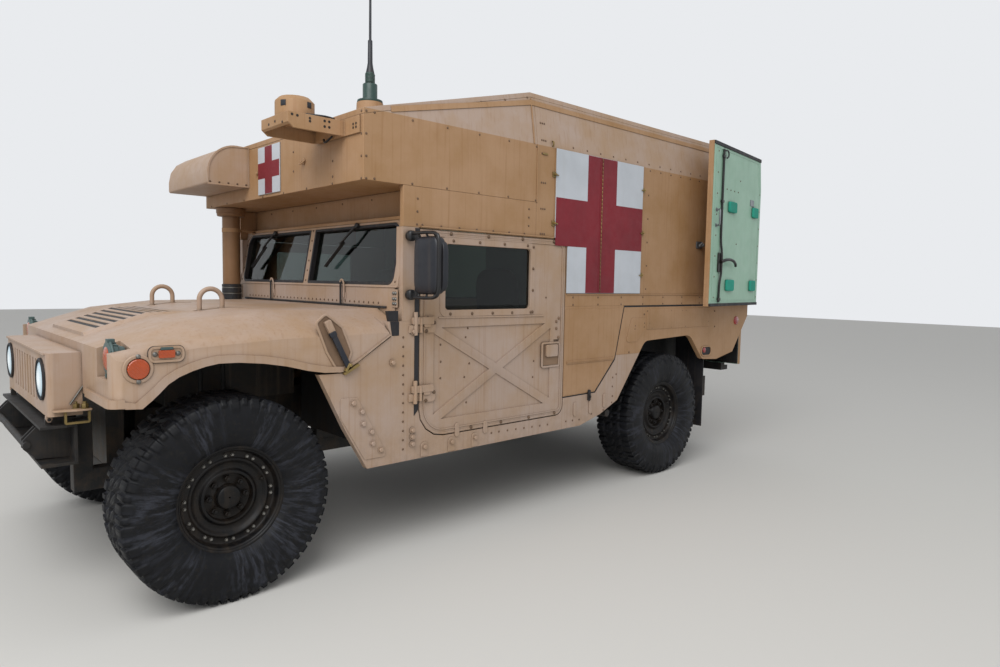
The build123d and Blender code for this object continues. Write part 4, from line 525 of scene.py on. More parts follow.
def lining_finish(centres, normals):
    """Green on faces above the wheel houses that look inward, sand on the rest."""
    return (normals[:, 0] * np.sign(centres[:, 0]) < -0.5) & (centres[:, 2] > LINING_FOOT)


def tub_finish(centres, normals):
    """Black on the firewall's front and underneath, sand on the rest."""
    return (normals[:, 1] < -0.5) | (normals[:, 2] < -0.5)


for node in ("rockers", "cowl"):
    dressed(node, sand)
for node in ("cab_top", "rear_frame"):
    dressed(node, box_sand)
dressed("rear_fenders", box_sand, pale_green, choose=lining_finish)
for node in ("box_sides", "overhang", "box_roof"):
    dressed(node, box_sand, sand, pale_green, choose=wall_finish)
dressed("bulkhead", pale_green)
dressed("box_floor", black_steel, pale_green, choose=floor_finish)
dressed("cab_floor", box_sand, black_steel, choose=tub_finish)
for node in ("gaskets", "mud_flaps"):
    dressed(node, seal_rubber, edge=0.001)


# Rivets and screws: rows of small domed heads along every seam, painted over in a darker tone that is
# painted shade, darkest round each rim.
# Raised strips cover the roof's edge and the seam between the part over the cab and the box.
LEAN = np.array([0.989, 0, 0.146])
SEAM_Y, HEADER_Y = -0.101, -0.951
# (first y, first z, last y, last z, pitch) on the flat of the left wall
WALL_ROWS = [(0.001, 1.357, 2.545, 1.357, 0.256), (0.257, 1.309, 2.545, 1.309, 0.256),
             (1.06, 2.266, 2.5, 2.266, 0.132), (1.049, 1.417, 1.049, 2.09, 0.168),
             (-1.248, 1.947, -0.111, 1.947, 0.2275), (-1.248, 2.268, -0.111, 2.268, 0.2275),
             (-1.295, 1.944, -1.295, 2.268, 0.108), (-0.954, 1.741, -0.2, 1.741, 0.126),
             (-0.988, 1.741, -0.985, 1.875, 0.067), (-1.068, 0.559, -1.07, 1.152, 0.05),
             (-0.165, 1.79, -0.165, 1.89, 0.05)]
# the same on the leaning part: over the fold, along the roof's edge behind the peak and before it
LEAN_ROWS = [(0.227, 2.309, 2.55, 2.309, 0.137), (0.02, 2.535, 2.53, 2.535, 0.137),
             (-1.1, 2.309, -0.16, 2.556, 0.19)]
TRIPLES_Z, TRIPLES_Y = (1.75, 1.902, 2.06, 2.235, 2.315, 2.42), (-0.062, -0.045, -0.028)
# (first x, first z, last x, last z, pitch) on the front of the part over the cab, then on its header
FRONT_ROWS = [(-0.96, 1.944, 1.046, 1.944, 0.2866), (1.046, 2.052, 1.046, 2.268, 0.108),
              (0.316, 2.054, 0.316, 2.162, 0.108), (0.763, 1.98, 0.763, 2.06, 0.08),
              (0.2, 2.262, 0.56, 2.262, 0.18)]
HEADER_ROW = (-0.776, 1.908, 0.9, 1.908, 0.335)
EDGE_STRIP = np.array([(0, 0, 0), (0.004, 0, 0.0006), (0, 0, 0.031), (-0.0045, 0, 0.03)])


def mirrored(shape):
    """The same shape on the other side of the truck."""
    return np.asarray(shape[0]) * (-1, 1, 1), shape[1]


def both(*shapes):
    """The shapes of the left side with their mirror images."""
    return list(shapes) + [mirrored(shape) for shape in shapes]


def rows(*table):
    """Places along each (two first coordinates, two last ones, pitch), about a pitch apart."""
    places = []
    for *ends, pitch in table:
        start, end = np.reshape(ends, (2, -1))
        steps = max(int(round(np.linalg.norm(end - start) / pitch)), 1)
        places.append(start + (end - start) * np.linspace(0, 1, steps + 1)[:, None])
    return np.vstack(places)


def on_plane(places, axis, value):
    """Flat places with their third coordinate put in."""
    return np.insert(np.asarray(places, float), axis, value, axis=1)


def on_side(places, out=0.0):
    """Places (y, z) put on the left wall, or out from it."""
    return on_plane(places, 0, WALL_X + out)


def slab(outline, axis, low, high):
    """Flat plate: the outline holds the other two coordinates, low and high are its faces along axis."""
    return skin(np.stack([on_plane(outline, axis, value) for value in (low, high)]))


def plate(outline, out, under=0.001):
    """Plate on the left wall: from a little under its face, outwards."""
    return slab(outline, 0, WALL_X - under, WALL_X + out)


def rect(x0, y0, x1, y1):
    """Corners of a rectangle, in turn."""
    return [(x0, y0), (x1, y0), (x1, y1), (x0, y1)]


def brick(x, y, z):
    """Rectangular plate between two values along each direction."""
    return slab(rect(y[0], z[0], y[1], z[1]), 0, *x)


def lean_x(z):
    """How far out the wall stands at a height: straight up to the fold, then leaning in to the roof."""
    return WALL_X - np.maximum(np.asarray(z) - FOLD_Z, 0) * LEAN[2] / LEAN[0]


def riveted(name, *heads, body="truck", mirror=True):
    """Piece made of painted rivet heads: each group is (places, the way they face)."""
    shapes = [scattered(rivet_shape, places, axis) for places, axis in heads]
    piece_of(name, both(*shapes) if mirror else shapes, rivet_shade_paint, body, angle=60)


rivet_shape = turned([(-0.001, 0.0068), (0.001, 0.0064), (0.003, 0.0042), (0.004, 0.0012)], steps=8)
screw_shape = turned([(0, 0.0105), (0.0015, 0.0105), (0.0025, 0.0085), (0.006, 0.0075), (0.0075, 0.005)],
                     steps=8)
bolt_head = joined([turned([(0, 0.018), (0.003, 0.018)]),
                    turned([(0.003, 0.0125), (0.013, 0.0125), (0.015, 0.0105)], steps=6)])
# The heads' darker colour is painted shade, and coated's corner shade darkens each rim further.
rivet_shade_paint = coated("sand paint over rivet heads, darkened as painted shade", "#6F5640", "#5A4430", 0.55, 0.2, 0.6)
leaning = np.vstack([rows(*LEAN_ROWS), [(y, z) for z in TRIPLES_Z for y in TRIPLES_Y]])
leaning = np.column_stack([lean_x(leaning[:, 1]), leaning])
riveted("wall_rivets", (on_side(rows(*WALL_ROWS)), OUTWARD), (leaning, LEAN))
front_rivets = [on_plane(rows(*FRONT_ROWS), 1, FRONT_Y), on_plane(rows(HEADER_ROW), 1, HEADER_Y)]
riveted("front_rivets", (np.vstack(front_rivets), FORWARD), mirror=False)
strip_top, edge_z = ROOF_Z - 0.035, ROOF_Z - 0.078
lean_strip = [(lean_x(z) + out, z)
              for z, out in ((FOLD_Z, 0), (FOLD_Z, 0.005), (strip_top, 0.005), (strip_top, 0))]
seam = [plate(rect(SEAM_Y - 0.004, 1.937, SEAM_Y + 0.004, FOLD_Z), 0.005),
        slab(lean_strip, 1, SEAM_Y - 0.034, SEAM_Y - 0.026)]
for ends in (((PEAK_Y, edge_z), (BACK_Y, edge_z)), ((FRONT_Y + 0.16, FOLD_Z + 0.004), (PEAK_Y, edge_z))):
    seam.append(skin(np.array([[(lean_x(z), y, z)] for y, z in ends]) + EDGE_STRIP))
piece_of("seam_strips", both(*seam), box_sand, edge=0.001)


# Lower body fittings: bolted stiffening plate, step brackets and pressed ribs on the rocker, access cover,
# pressed flap and fold line on the rear sides. All are painted with the panels that carry them.
PATCH = [(-1.437, 0.769), (-1.437, 0.867), (-1.343, 0.862), (-1.176, 0.568), (-1.18, 0.54), (-1.3, 0.54)]
PATCH_BOLTS = [(-1.138, 1.025), (-1.368, 0.838), (-1.319, 0.79), (-1.311, 0.728), (-1.263, 0.68),
               (-1.256, 0.619), (-1.208, 0.58), (-1.01, 0.654), (-1.01, 0.618), (-1.01, 0.58),
               (-1.01, 1.18)]
STEP_TABS = (-0.93, -0.742, -0.571)
# (y, low z, high z) of the ribs pressed into the rocker
RIBS = [(-0.704, 0.575, 0.655), (-0.492, 0.565, 0.64), (0.3, 0.569, 0.664), (0.457, 0.569, 0.664),
        (0.606, 0.595, 0.693)]
ROCKER_DOTS = [(0.215, 0.546), (0.281, 0.544), (0.348, 0.542), (0.473, 0.566), (0.6, 0.578), (0.692, 0.621),
               (0.697, 0.666), (0.694, 0.734), (0.695, 0.797), (0.733, 0.817), (-0.44, 0.56), (-0.38, 0.56),
               (-0.31, 0.558), (-0.24, 0.556), (-0.17, 0.554), (-0.1, 0.552), (-0.03, 0.55), (0.04, 0.548)]
FENDER_DOTS = [(1.083, 1.256), (1.389, 1.256), (1.539, 1.254), (1.593, 1.253), (1.931, 1.159),
               (1.112, 1.166), (1.142, 1.128), (1.393, 1.128), (1.593, 1.128), (2.034, 1.114),
               (2.024, 1.241), (0.939, 1.152), (0.933, 1.129), (1.047, 1.168), (1.045, 1.14),
               (1.043, 1.233), (0.873, 0.965)]
FLAP = [(0.832, 1.037), (0.96, 1.037), (1.03, 1.1), (1.06, 1.11), (1.06, 1.205), (0.891, 1.209)]
LOWER_PANEL = [(0.187, 0.718), (0.497, 0.722), (0.702, 0.93), (0.79, 1.28), (0.187, 1.28)]
CATCH_HOOK = [(0.437, 0.675, 0.012), (0.437, 0.69, 0.02), (0.437, 0.705, 0.012)]
SIDE = ((WALL_X, 0, 0), BACKWARD, UPWARD)


def cornered(points, radii, flats=6):
    """Closed path of a polygon with round corners: an arc starts r / tan(half the angle) from its corner."""
    points = np.asarray(points, float)
    path = []
    for before, corner, after, radius in zip(np.roll(points, 1, 0), points, np.roll(points, -1, 0),
                                             np.broadcast_to(radii, len(points))):
        if radius == 0:
            path.append(corner[None])
            continue
        back, on = ((end - corner) / np.linalg.norm(end - corner) for end in (before, after))
        half = np.arccos(np.clip(back @ on, -1, 1)) / 2
        centre = corner + (back + on) / np.linalg.norm(back + on) * radius / np.sin(half)
        first, last = (corner + way * radius / np.tan(half) - centre for way in (back, on))
        t, span = np.linspace(0, 1, flats)[:, None], np.pi - 2 * half
        path.append(centre + (np.sin((1 - t) * span) * first + np.sin(t * span) * last) / np.sin(span))
    return np.vstack(path)


def rounded(x0, y0, x1, y1, radii, flats=6):
    """Closed path of a rectangle with round corners."""
    return cornered(rect(x0, y0, x1, y1), radii, flats)


def framed(path, width, low, high, place=SIDE):
    """Band along a closed path in a plane: its section is width across, from low to high over the plane.

    place holds the plane's origin and its two directions; their cross product is the way up from it."""
    origin, first, second = (np.asarray(part, float) for part in place)
    run = np.roll(path, -1, 0) - np.roll(path, 1, 0)
    run /= np.linalg.norm(run, axis=1)[:, None]
    across = np.stack([-run[:, 1], run[:, 0]], axis=1) * width / 2
    flat = np.stack([path - across, path - across, path + across, path + across], axis=1)
    up = np.array([low, high, high, low])[None, :, None] * np.cross(first, second)
    return skin(origin + flat[..., :1] * first + flat[..., 1:] * second + up, around=True)


fittings = [plate(cornered(PATCH, 0.012), 0.004)]
fittings += [plate(rounded(y - 0.024, 0.5, y + 0.024, 0.58, [0, 0, 0.022, 0.022]), 0.005) for y in STEP_TABS]
fittings += [plate(rounded(y - 0.016, low, y + 0.016, high, 0.0155), 0.006) for y, low, high in RIBS]
piece_of("rocker_fittings", both(*fittings), sand, edge=0.003)
box_fittings = [plate(cornered(FLAP, 0.02), 0.003), plate(rect(0.206, 0.922, 0.694, 0.944), 0.006),
                plate(rect(0.206, 0.931, 0.694, 0.936), 0.009), plate(LOWER_PANEL, 0.002)]
piece_of("fender_fittings", both(*box_fittings), box_sand, edge=0.0015)
bolts = on_side(PATCH_BOLTS + [(y, 0.552) for y in STEP_TABS], 0.003)
piece_of("rocker_bolts", both(scattered(bolt_head, bolts)), sand, angle=40)
riveted("lower_rivets", (np.vstack([on_side(ROCKER_DOTS), on_side(FENDER_DOTS, 0.001)]), OUTWARD))
hook = [(WALL_X + out, y, z) for y, z, out in CATCH_HOOK]
catch = both(plate(rounded(0.425, 0.662, 0.449, 0.735, 0.008), 0.012, 0), tube(hook, 0.006, hint=OUTWARD))
piece_of("panel_catches", catch, seal_rubber, edge=0.002)


# Side reflectors and recessed markers on the rear fenders: moulded red plastic held in sand-painted bezels.
# Lens plastic is glossy and deep in tone, with fine ridges that break up its shine, and a faint painted
# glow.
REFLECTOR_AT, REFLECTOR_R = (2.381, 1.155), 0.036
MARKER_Y, MARKER_Z, MARKER_HALF = 1.912, 0.918, (0.074, 0.037)


def lens_plastic(name, colour, painted_glow):
    """Glossy moulded lens with a faint painted glow: a fine wave every 4 mm in X and Z dents its surface."""
    material, tree, shader = finish_of(name)
    at = add(tree, "TexCoord", out="Object")
    ridges = add(tree, "TexWave", {"Vector": at, "Scale": 40.0}, bands_direction="DIAGONAL")
    patch = add(tree, "TexNoise", {"Vector": at, "Scale": 25.0, "Detail": 3.0})
    dark = tuple(c * 0.55 for c in linear(colour)[:3]) + (1,)
    tone = add(tree, "Mix", {0: patch, 6: linear(colour), 7: dark}, out=2, data_type="RGBA")
    bump = add(tree, "Bump", {"Height": ridges, "Distance": 0.002, "Strength": 0.6})
    put(tree, shader, {"Base Color": tone, "Emission Color": tone, "Emission Strength": painted_glow, "Normal": bump,
                       "Roughness": 0.12, "Coat Weight": 0.6})
    return material


def at_side(profile, y, z, out=0.0, steps=16, closed=False):
    """Solid turned about X that stands on the left wall, or out from it, at y and z."""
    return turned(profile, (WALL_X + out, y, z), OUTWARD, steps, closed=closed)


# The last value is a faint painted glow; the red lens also covers the side reflectors, which are no lamps.
amber = lens_plastic("amber moulded acrylic", "#B9480C", 0.12)
red_lens = lens_plastic("red moulded acrylic", "#9C1612", 0.1)
disc = at_side([(0, REFLECTOR_R), (0.006, REFLECTOR_R), (0.01, REFLECTOR_R * 0.9), (0.011, 0.004)],
               *REFLECTOR_AT, -0.002, 32)
lens = at_side([(0, 0.024), (0.006, 0.022), (0.009, 0.016), (0.01, 0.002)], MARKER_Y - 0.026,
               MARKER_Z + 0.007, -0.002, 24)
piece_of("side_reflectors", both(disc, lens), red_lens, angle=50)
oval = cornered([(MARKER_Y + y * MARKER_HALF[0], MARKER_Z + z * MARKER_HALF[1] - lower)
                 for y, z, lower in ((-1, -1, 0), (1, -1, 0.003), (1, 1, 0.003), (-1, 1, 0))], 0.033, 8)
piece_of("marker_bezels", both(framed(oval, 0.009, -0.001, 0.007)), box_sand, edge=0.002)
piece_of("marker_wells", both(plate(oval, 0.0008, 0.004)), seal_rubber)


# Hood and grille: one thick moulded glass-fibre shell and the front housing, in sand paint, tipping forward
# together. Rubber and steel over-centre catches hold the hood's corners down to the rockers.
HOOD_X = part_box("hood")[1].x
CATCH_RIM = [(-1.516, 1.282), (-1.566, 1.24), (-1.51, 1.098), (-1.446, 0.992), (-1.398, 1.03),
             (-1.376, 1.092), (-1.428, 1.216)]
BRACE_ROD = [(0.567, -2.387, 1.018), (0.567, -2.479, 0.88)]
CORNER_SKIN = [(0.945, 1.2555), (1.036, 1.2158), (1.036, 1.212), (0.945, 1.2517)]
CORNER_SEAL = [(-1.152, 1.234), (-1.098, 1.234), (-1.098, 1.29), (-1.165, 1.29)]
CORNER_FLAP = [(-1.14, 1.162), (-1.097, 1.162), (-1.097, 1.236), (-1.152, 1.236)]
FLANGE = [(0.5, -2.545), (0.59, -2.545), (0.612, -2.46), (0.612, -2.4), (0.56, -2.4), (0.5, -2.47)]
VENT = [(-2.33, 1.192), (-2.101, 1.2635), (-1.975, 1.2675), (-1.975, 1.262), (-2.101, 1.258),
        (-2.33, 1.186)]


def bar(start, end, half, low, high, plane=HOOD_X):
    """Flat bar on a side plane from start to end (y, z), with its half width and its faces' places."""
    start, end = np.asarray(start, float), np.asarray(end, float)
    run = (end - start) / np.linalg.norm(end - start)
    side = np.array([-run[1], run[0]]) * half
    outline = cornered([start - side, end - side, end + side, start + side], half * 0.35, 4)
    return slab(outline, 0, plane + low, plane + high)


dressed("hood", sand, edge=0.007)
dressed("grille", sand, edge=0.005)
piece_of("corner_skins", both(slab(CORNER_SKIN, 1, -1.17, -1.098)), sand, "hood")
corner_rubber = both(slab(CORNER_SEAL, 0, 1.036, WALL_X - 0.004), plate(CORNER_FLAP, 0.002))
piece_of("corner_seals", corner_rubber, seal_rubber, edge=0.002)
catch_rim = cornered(CATCH_RIM, 0.018, 5)
# shadow_paint is painted shade: darker sand on the plates in the catches' hollows and in the doors' latch
# wells.
shadow_paint = coated("sand paint darkened as painted shade in hollows", "#8A6F57", "#6B5340", 0.6, 0.2, 0.5)
strap_rubber = coated("ribbed black rubber strap", "#171B26", "#1F232C", 0.45, mud_top=0.5)
zinc = coated("yellow zinc plating, dulled", "#A08A55", "#7C6A42", 0.4, 0.3, 0.9, 0.4, metallic=0.6)
hollow = slab(catch_rim, 0, HOOD_X - 0.012, HOOD_X - 0.0068)
rim = framed(catch_rim, 0.012, -0.004, 0.006, ((HOOD_X - 0.008, 0, 0), BACKWARD, UPWARD))
catch_bar = bar((-1.514, 1.25), (-1.48, 1.178), 0.017, -0.008, 0.014)
for name, shape, material, edge in (("hollows", hollow, shadow_paint, 0), ("rims", rim, sand, 0.003),
                                    ("bars", catch_bar, sand, 0.003)):
    piece_of("catch_" + name, both(shape), material, "hood", edge=edge)
strap = both(bar((-1.488, 1.19), (-1.4, 1.02), 0.014, 0.004, 0.016),
             bar((-1.492, 1.196), (-1.482, 1.174), 0.018, 0.002, 0.02))
piece_of("catch_straps", strap, strap_rubber, edge=0.003)
anchor = both(bar((-1.424, 0.988), (-1.342, 1.03), 0.006, WALL_X - 0.004 - HOOD_X, 0.014),
              bar((-1.418, 1.0), (-1.396, 1.04), 0.006, WALL_X - HOOD_X, 0.018),
              turned([(0, 0.009), (0.014, 0.009), (0.016, 0.006)], (HOOD_X + 0.004, -1.392, 1.03), steps=12))
piece_of("catch_anchors", anchor, zinc, edge=0.001)
brace = both(tube(BRACE_ROD, 0.004, 10, OUTWARD))
flange = both(slab(cornered(FLANGE, 0.008, 4), 2, 0.853, 0.86))
# The black sheet under the hood's slots is painted shade: it makes the slots dark, as the engine bay behind
# them is.
vent = [slab(VENT, 0, -0.3295, 0.3295)]
hinge_arm = both(framed(rounded(-2.5, 0.8, -2.41, 0.855, 0.004), 0.009, -0.012, 0.003,
                        ((0.587, 0, 0), BACKWARD, UPWARD)),
                 scattered(nut_shape, [(0.555, -2.455, 0.86), (0.58, -2.425, 0.86)], UPWARD))
for name, shapes, material, edge, angle in (("brace_rods", brace, bolt_steel, 0, 60),
                                            ("grille_flanges", flange, sand, 0.002, 35),
                                            ("vent_shade_sheet", vent, black_steel, 0, 40),
                                            ("hood_hinge_arms", hinge_arm, zinc, 0.001, 35)):
    piece_of(name, shapes, material, "hood", edge=edge, angle=angle)


# Lifting loops: forged steel bars bent to arches, bolted to the frame and painted sand, through the hood.
# Round bar of 25 mm with its legs straight below the arch, black where they stand under the hood.
LOOP_X, LOOP_BAR, LOOP_NECK, LOOP_FOOT = 0.4, 0.0125, 1.215, 0.012
low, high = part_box("lifting_loops")
middle, half = (low.y + high.y) / 2, (high.y - low.y) / 2 - LOOP_BAR
t = np.linspace(0, np.pi, 25)
arch = np.stack([np.full(25, LOOP_X), middle - half * np.cos(t),
                 high.z - LOOP_BAR - half * (1 - np.sin(t))], axis=1)
necks, feet = (np.array([(LOOP_X, y, z) for y in arch[[0, -1], 1]]) for z in (LOOP_NECK, low.z + LOOP_FOOT))
arch = np.vstack([necks[:1], arch, necks[1:]])
legs = [tube(ends, LOOP_BAR, 14, OUTWARD) for ends in zip(feet, necks)]
legs.append(brick((LOOP_X - 0.012, LOOP_X + 0.012), (low.y, high.y), (low.z, low.z + LOOP_FOOT)))
piece_of("loops", both(tube(arch, LOOP_BAR, 14, OUTWARD)), sand, stands_for=["lifting_loops"], angle=50)
piece_of("loop_legs", both(*legs), black_steel, stands_for=["lifting_loops"], angle=50)


# Headlights: sealed round lamps with domed fluted glass over a silvered bowl, in black rubber rings.
# They are lit in the photograph, so the glass glows a cool white.
LAMP_X, LAMP_Z, LAMP_FRONT = 0.44, 0.985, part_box("headlights")[0].y
lamp_glass, tree, shader = finish_of("fluted lamp glass over silvering")
at = add(tree, "TexCoord", out="Object")
flutes = add(tree, "TexWave", {"Vector": at, "Scale": 22.0, "Distortion": 0.6}, bands_direction="X")
folded = add(tree, "VectorMath", {0: at}, operation="ABSOLUTE")
centre = (LAMP_X, -LAMP_FRONT, LAMP_Z)
spot = add(tree, "VectorMath", {0: folded, 1: centre}, out="Value", operation="DISTANCE")
bowl = add(tree, "MapRange", {0: spot, 1: 0.02, 2: 0.085})
tone = add(tree, "Mix", {0: bowl, 6: linear("#EAF3F7"), 7: linear("#7FA3B5")}, out=2, data_type="RGBA")
bump = add(tree, "Bump", {"Height": flutes, "Distance": 0.002, "Strength": 0.5})
put(tree, shader, {"Base Color": tone, "Normal": bump, "Emission Color": tone, "Emission Strength": 0.35,
                   "Roughness": 0.06})
can = turned([(0, 0.03), (0.012, 0.088), (0.06, 0.094), (0.068, 0.094), (0.072, 0.088), (0.071, 0.084),
              (0.05, 0.082)], (LAMP_X, LAMP_FRONT + 0.074, LAMP_Z), FORWARD, 40)
dome = turned([(0, 0.083), (0.006, 0.083), (0.011, 0.074), (0.015, 0.055), (0.017, 0.03), (0.0175, 0.004)],
              (LAMP_X, LAMP_FRONT + 0.0175, LAMP_Z), FORWARD, 40)
piece_of("lamp_cans", both(can), seal_rubber, "hood", ["headlights"], angle=40)
piece_of("lamp_lenses", both(dome), lamp_glass, "hood", ["headlights"], angle=60)


# Marker lamps: an amber dome in a ribbed grey-green can in each fender pocket, and on each side a round
# marker in a screwed bezel and a long one in a rounded bezel with a cap.
POCKET = np.array([0.921, -2.423, 1.112])
ROUND_MARKER, LONG_MARKER = (-2.333, 1.078), (-2.227, 1.133)
LAMPS = ["marker_lamps"]


def long_outline(half, down, up, radius=0):
    """Outline about the long marker's middle, half wide to each side."""
    y, z = LONG_MARKER
    return rounded(y - half, z - down, y + half, z + up, radius)


can_paint = coated("grey-green paint on die-cast aluminium", "#4C6260", "#3E504F", 0.45, mud_top=0.5)
can = [turned([(0, 0.03), (0.006, 0.046), (0.03, 0.052), (0.034, 0.06), (0.052, 0.064), (0.054, 0.071),
               (0.058, 0.073), (0.062, 0.071), (0.064, 0.067), (0.068, 0.067), (0.07, 0.058)],
              POCKET + (0, 0.08, 0), FORWARD, 36)]
for angle in 2 * np.pi * np.arange(12) / 12:
    out = np.array([np.cos(angle), 0, np.sin(angle)])
    ends = [POCKET + (0, 0.048, 0) + out * 0.061, POCKET + (0, 0.014, 0) + out * 0.067]
    can.append(tube(ends, 0.0035, 6, (1, 1, 1)))
for low, high in (((-0.016, 0.012, 0.062), (0.016, 0.04, 0.079)),
                  ((-0.01, 0.006, -0.078), (0.01, 0.034, -0.062))):
    can.append(brick(*zip(POCKET + low, POCKET + high)))
piece_of("pocket_lamp_cans", both(*can), can_paint, "hood", LAMPS, edge=0.001)
dome = turned([(0, 0.054), (0.004, 0.054), (0.012, 0.05), (0.017, 0.042), (0.021, 0.026), (0.0225, 0.004)],
              POCKET + (0, 0.0235, 0), FORWARD, 36)
marker = at_side([(0, 0.0405), (0.009, 0.0405), (0.012, 0.037), (0.013, 0.004)], *ROUND_MARKER, 0, 32)
lenses = both(dome, marker, plate(long_outline(0.031, 0.0155, 0.0155, 0.005), 0.011, -0.002))
piece_of("amber_lenses", lenses, amber, "hood", LAMPS, edge=0.001, angle=50)
bezel_ring = at_side([(0, 0.058), (0.003, 0.058), (0.006, 0.054), (0.006, 0.044), (0, 0.042)], *ROUND_MARKER,
                     0, 36, closed=True)
frames = both(bezel_ring, framed(long_outline(0.064, 0.029, 0.027, 0.02), 0.01, -0.001, 0.008),
              plate(long_outline(0.06, 0.025, 0.024, 0.018), 0.004))
piece_of("marker_frames", frames, sand, "hood", LAMPS, edge=0.001)
(y, z), (long_y, long_z) = ROUND_MARKER, LONG_MARKER
screws = on_side([(y, z + 0.05), (y, z - 0.05), (long_y - 0.044, long_z), (long_y + 0.044, long_z)], 0.004)
piece_of("marker_screws", both(scattered(screw_shape, screws)), bolt_steel, "hood", angle=50)
gasket = framed(long_outline(0.068, 0.033, 0.031, 0.022), 0.006, -0.001, 0.003)
piece_of("marker_gaskets", both(gasket), seal_rubber, "hood", LAMPS)
cap = plate(long_outline(0.024, -0.017, 0.028), 0.012, -0.006)
piece_of("marker_caps", both(cap), can_paint, "hood", LAMPS, edge=0.002)


# Windscreen: two flat laminated panes in rubber, in a riveted frame with rounded upper corners.
# Hooks and rubber straps below hold the raised hood, and the wipers hang from the top rail.
glass, tree, shader = finish_of("dark tinted laminated glass")
put(tree, shader, {"Base Color": linear("#717E7B"), "Roughness": 0.02, "Transmission Weight": 1.0,
                   "IOR": 1.33})
for node in ("windshield_glass", "door_glass_left", "door_glass_right"):
    frame["nodes"][node].data.materials.clear()
    frame["nodes"][node].data.materials.append(glass)
dressed("windshield_frame", sand, edge=0.004)
SCREEN_FOOT, SCREEN_UP = np.array([0, -1.085, 1.41]), np.array([0, 0.1751, 0.9846])
SCREEN_OUT = np.cross(OUTWARD, SCREEN_UP)
SCREEN = (SCREEN_FOOT, OUTWARD, SCREEN_UP)
# (first x, first distance up the rake, last ones, pitch) round both panes
SCREEN_ROWS = [(0, 0.03, 0, 0.345, 0.065), (-0.86, 0.356, 0.86, 0.356, 0.215), (1.0, 0.03, 1.0, 0.28, 0.09),
               (-1.0, 0.03, -1.0, 0.28, 0.09)]
HOOK_XS, HOOK_Y, COWL_FACE = (-0.47, 0.47), -1.092, -1.085
# (x from the hook's middle, y from HOOK_Y, z) along each hook
HOOK_BEND = [(0.024, 0, 1.345), (0.026, 0, 1.41), (0.02, -0.004, 1.44), (0.006, -0.007, 1.447),
             (-0.004, -0.008, 1.432)]
WIPER_PIVOTS, WIPER_SWEEP = (-0.53, 0.545), (-0.3, -0.235)


def on_screen(places):
    """Places (x, distance up the rake) put on the windscreen frame's front face."""
    places = np.asarray(places, float)
    return SCREEN_FOOT + places[:, :1] * OUTWARD + places[:, 1:] * SCREEN_UP


pane = rounded(0.035, 0.0205, 0.975, 0.345, [0.004, 0.04, 0.07, 0.004])
piece_of("pane_seals", both(framed(pane, 0.016, -0.03, 0.0015, SCREEN)), seal_rubber,
         edge=0.001)
flange = rounded(-1.028, 0.004, 1.028, 0.357, [0.006, 0.006, 0.105, 0.105], 10)
piece_of("screen_flange", [framed(flange, 0.011, -0.001, 0.005, SCREEN)], sand, edge=0.002)
riveted("screen_rivets", (on_screen(rows(*SCREEN_ROWS)), SCREEN_OUT), mirror=False)
hooks, straps = [], []
for x in HOOK_XS:
    hooks.append(tube(smoothed(np.add(HOOK_BEND, (x, HOOK_Y, 0)), 24), 0.0055, hint=FORWARD))
    hooks.append(brick((x + 0.01, x + 0.04), (-1.089, -1.084), (1.335, 1.375)))
    straps.append(brick((x - 0.009, x + 0.003), (-1.103, -1.096), (1.306, 1.44)))
piece_of("hood_hooks", hooks, sand, edge=0.001)
piece_of("hook_straps", straps, seal_rubber, edge=0.002)
piece_of("screen_brackets", both(brick((0.985, 1.035), (-1.0895, -1.0845), (1.305, 1.4))), sand, edge=0.002)
bracket_bolts = [(x, -1.0885, z) for x in (1.0, 1.02) for z in (1.325, 1.35, 1.38)]
piece_of("screen_bolts", both(scattered(screw_shape, bracket_bolts, FORWARD)), bolt_steel, angle=50)
piece_of("cowl_seal", [brick((-0.93, 0.93), (-1.0935, -1.0845), (1.298, 1.309))], seal_rubber,
         edge=0.002)
cowl_row = on_plane(rows((-0.85, 1.325, 0.85, 1.325, 0.05)), 1, COWL_FACE)
riveted("cowl_rivets", (cowl_row, FORWARD), mirror=False)
black_paint = coated("black satin paint on steel wire", "#101114", "#18181A", 0.4)
wipers = []
for x in WIPER_PIVOTS:
    base, end = on_screen([(x, 0.35), (x + WIPER_SWEEP[0], 0.35 + WIPER_SWEEP[1])])
    pivot, tip = base + SCREEN_OUT * 0.018, end + SCREEN_OUT * 0.016
    wipers.append(turned([(0, 0.016), (0.02, 0.016), (0.024, 0.011)], base, SCREEN_OUT))
    # (share of the way to the tip, distance out) at both ends, and the radius there
    for ends, radius, steps in ((((0, 0), (0.45, 0.01)), (0.0085, 0.0055), 8),
                                (((0.34, 0.004), (1, 0)), 0.005, 8),
                                (((0.4, -0.008), (1, -0.012)), 0.0065, 6)):
        line = [pivot * (1 - share) + tip * share + SCREEN_OUT * out for share, out in ends]
        wipers.append(tube(line, radius, steps, SCREEN_OUT))
piece_of("wiper_arms", wipers, black_paint, stands_for=["wipers"], angle=50)


# Cab doors: pressed aluminium skins with a raised cross, hung on two bolted cast hinges outside.
# A screwed flat frame holds the window, and a black rubber seal shows in front of the door.
DOOR_OUTLINE, DOOR_RADII = rect(-0.966, 0.602, 0.174, 1.72), np.array((0.165, 0.06, 0.06, 0.004))
# (low z, high z, arm z) of each hinge
HINGES_Z = ((0.795, 0.884, 0.856), (1.17, 1.262, 1.221))
DOOR_DOTS = [(-0.82, 1.101), (-0.818, 1.007), (-0.819, 0.916), (-0.627, 1.185), (-0.642, 1.135),
             (-0.613, 0.984), (-0.648, 0.909), (-0.631, 0.762), (-0.091, 0.964), (-0.097, 0.864)]
LATCH_DOTS = [(0.122, 1.225), (0.1, 1.204), (0.101, 1.16), (0.122, 1.103)]
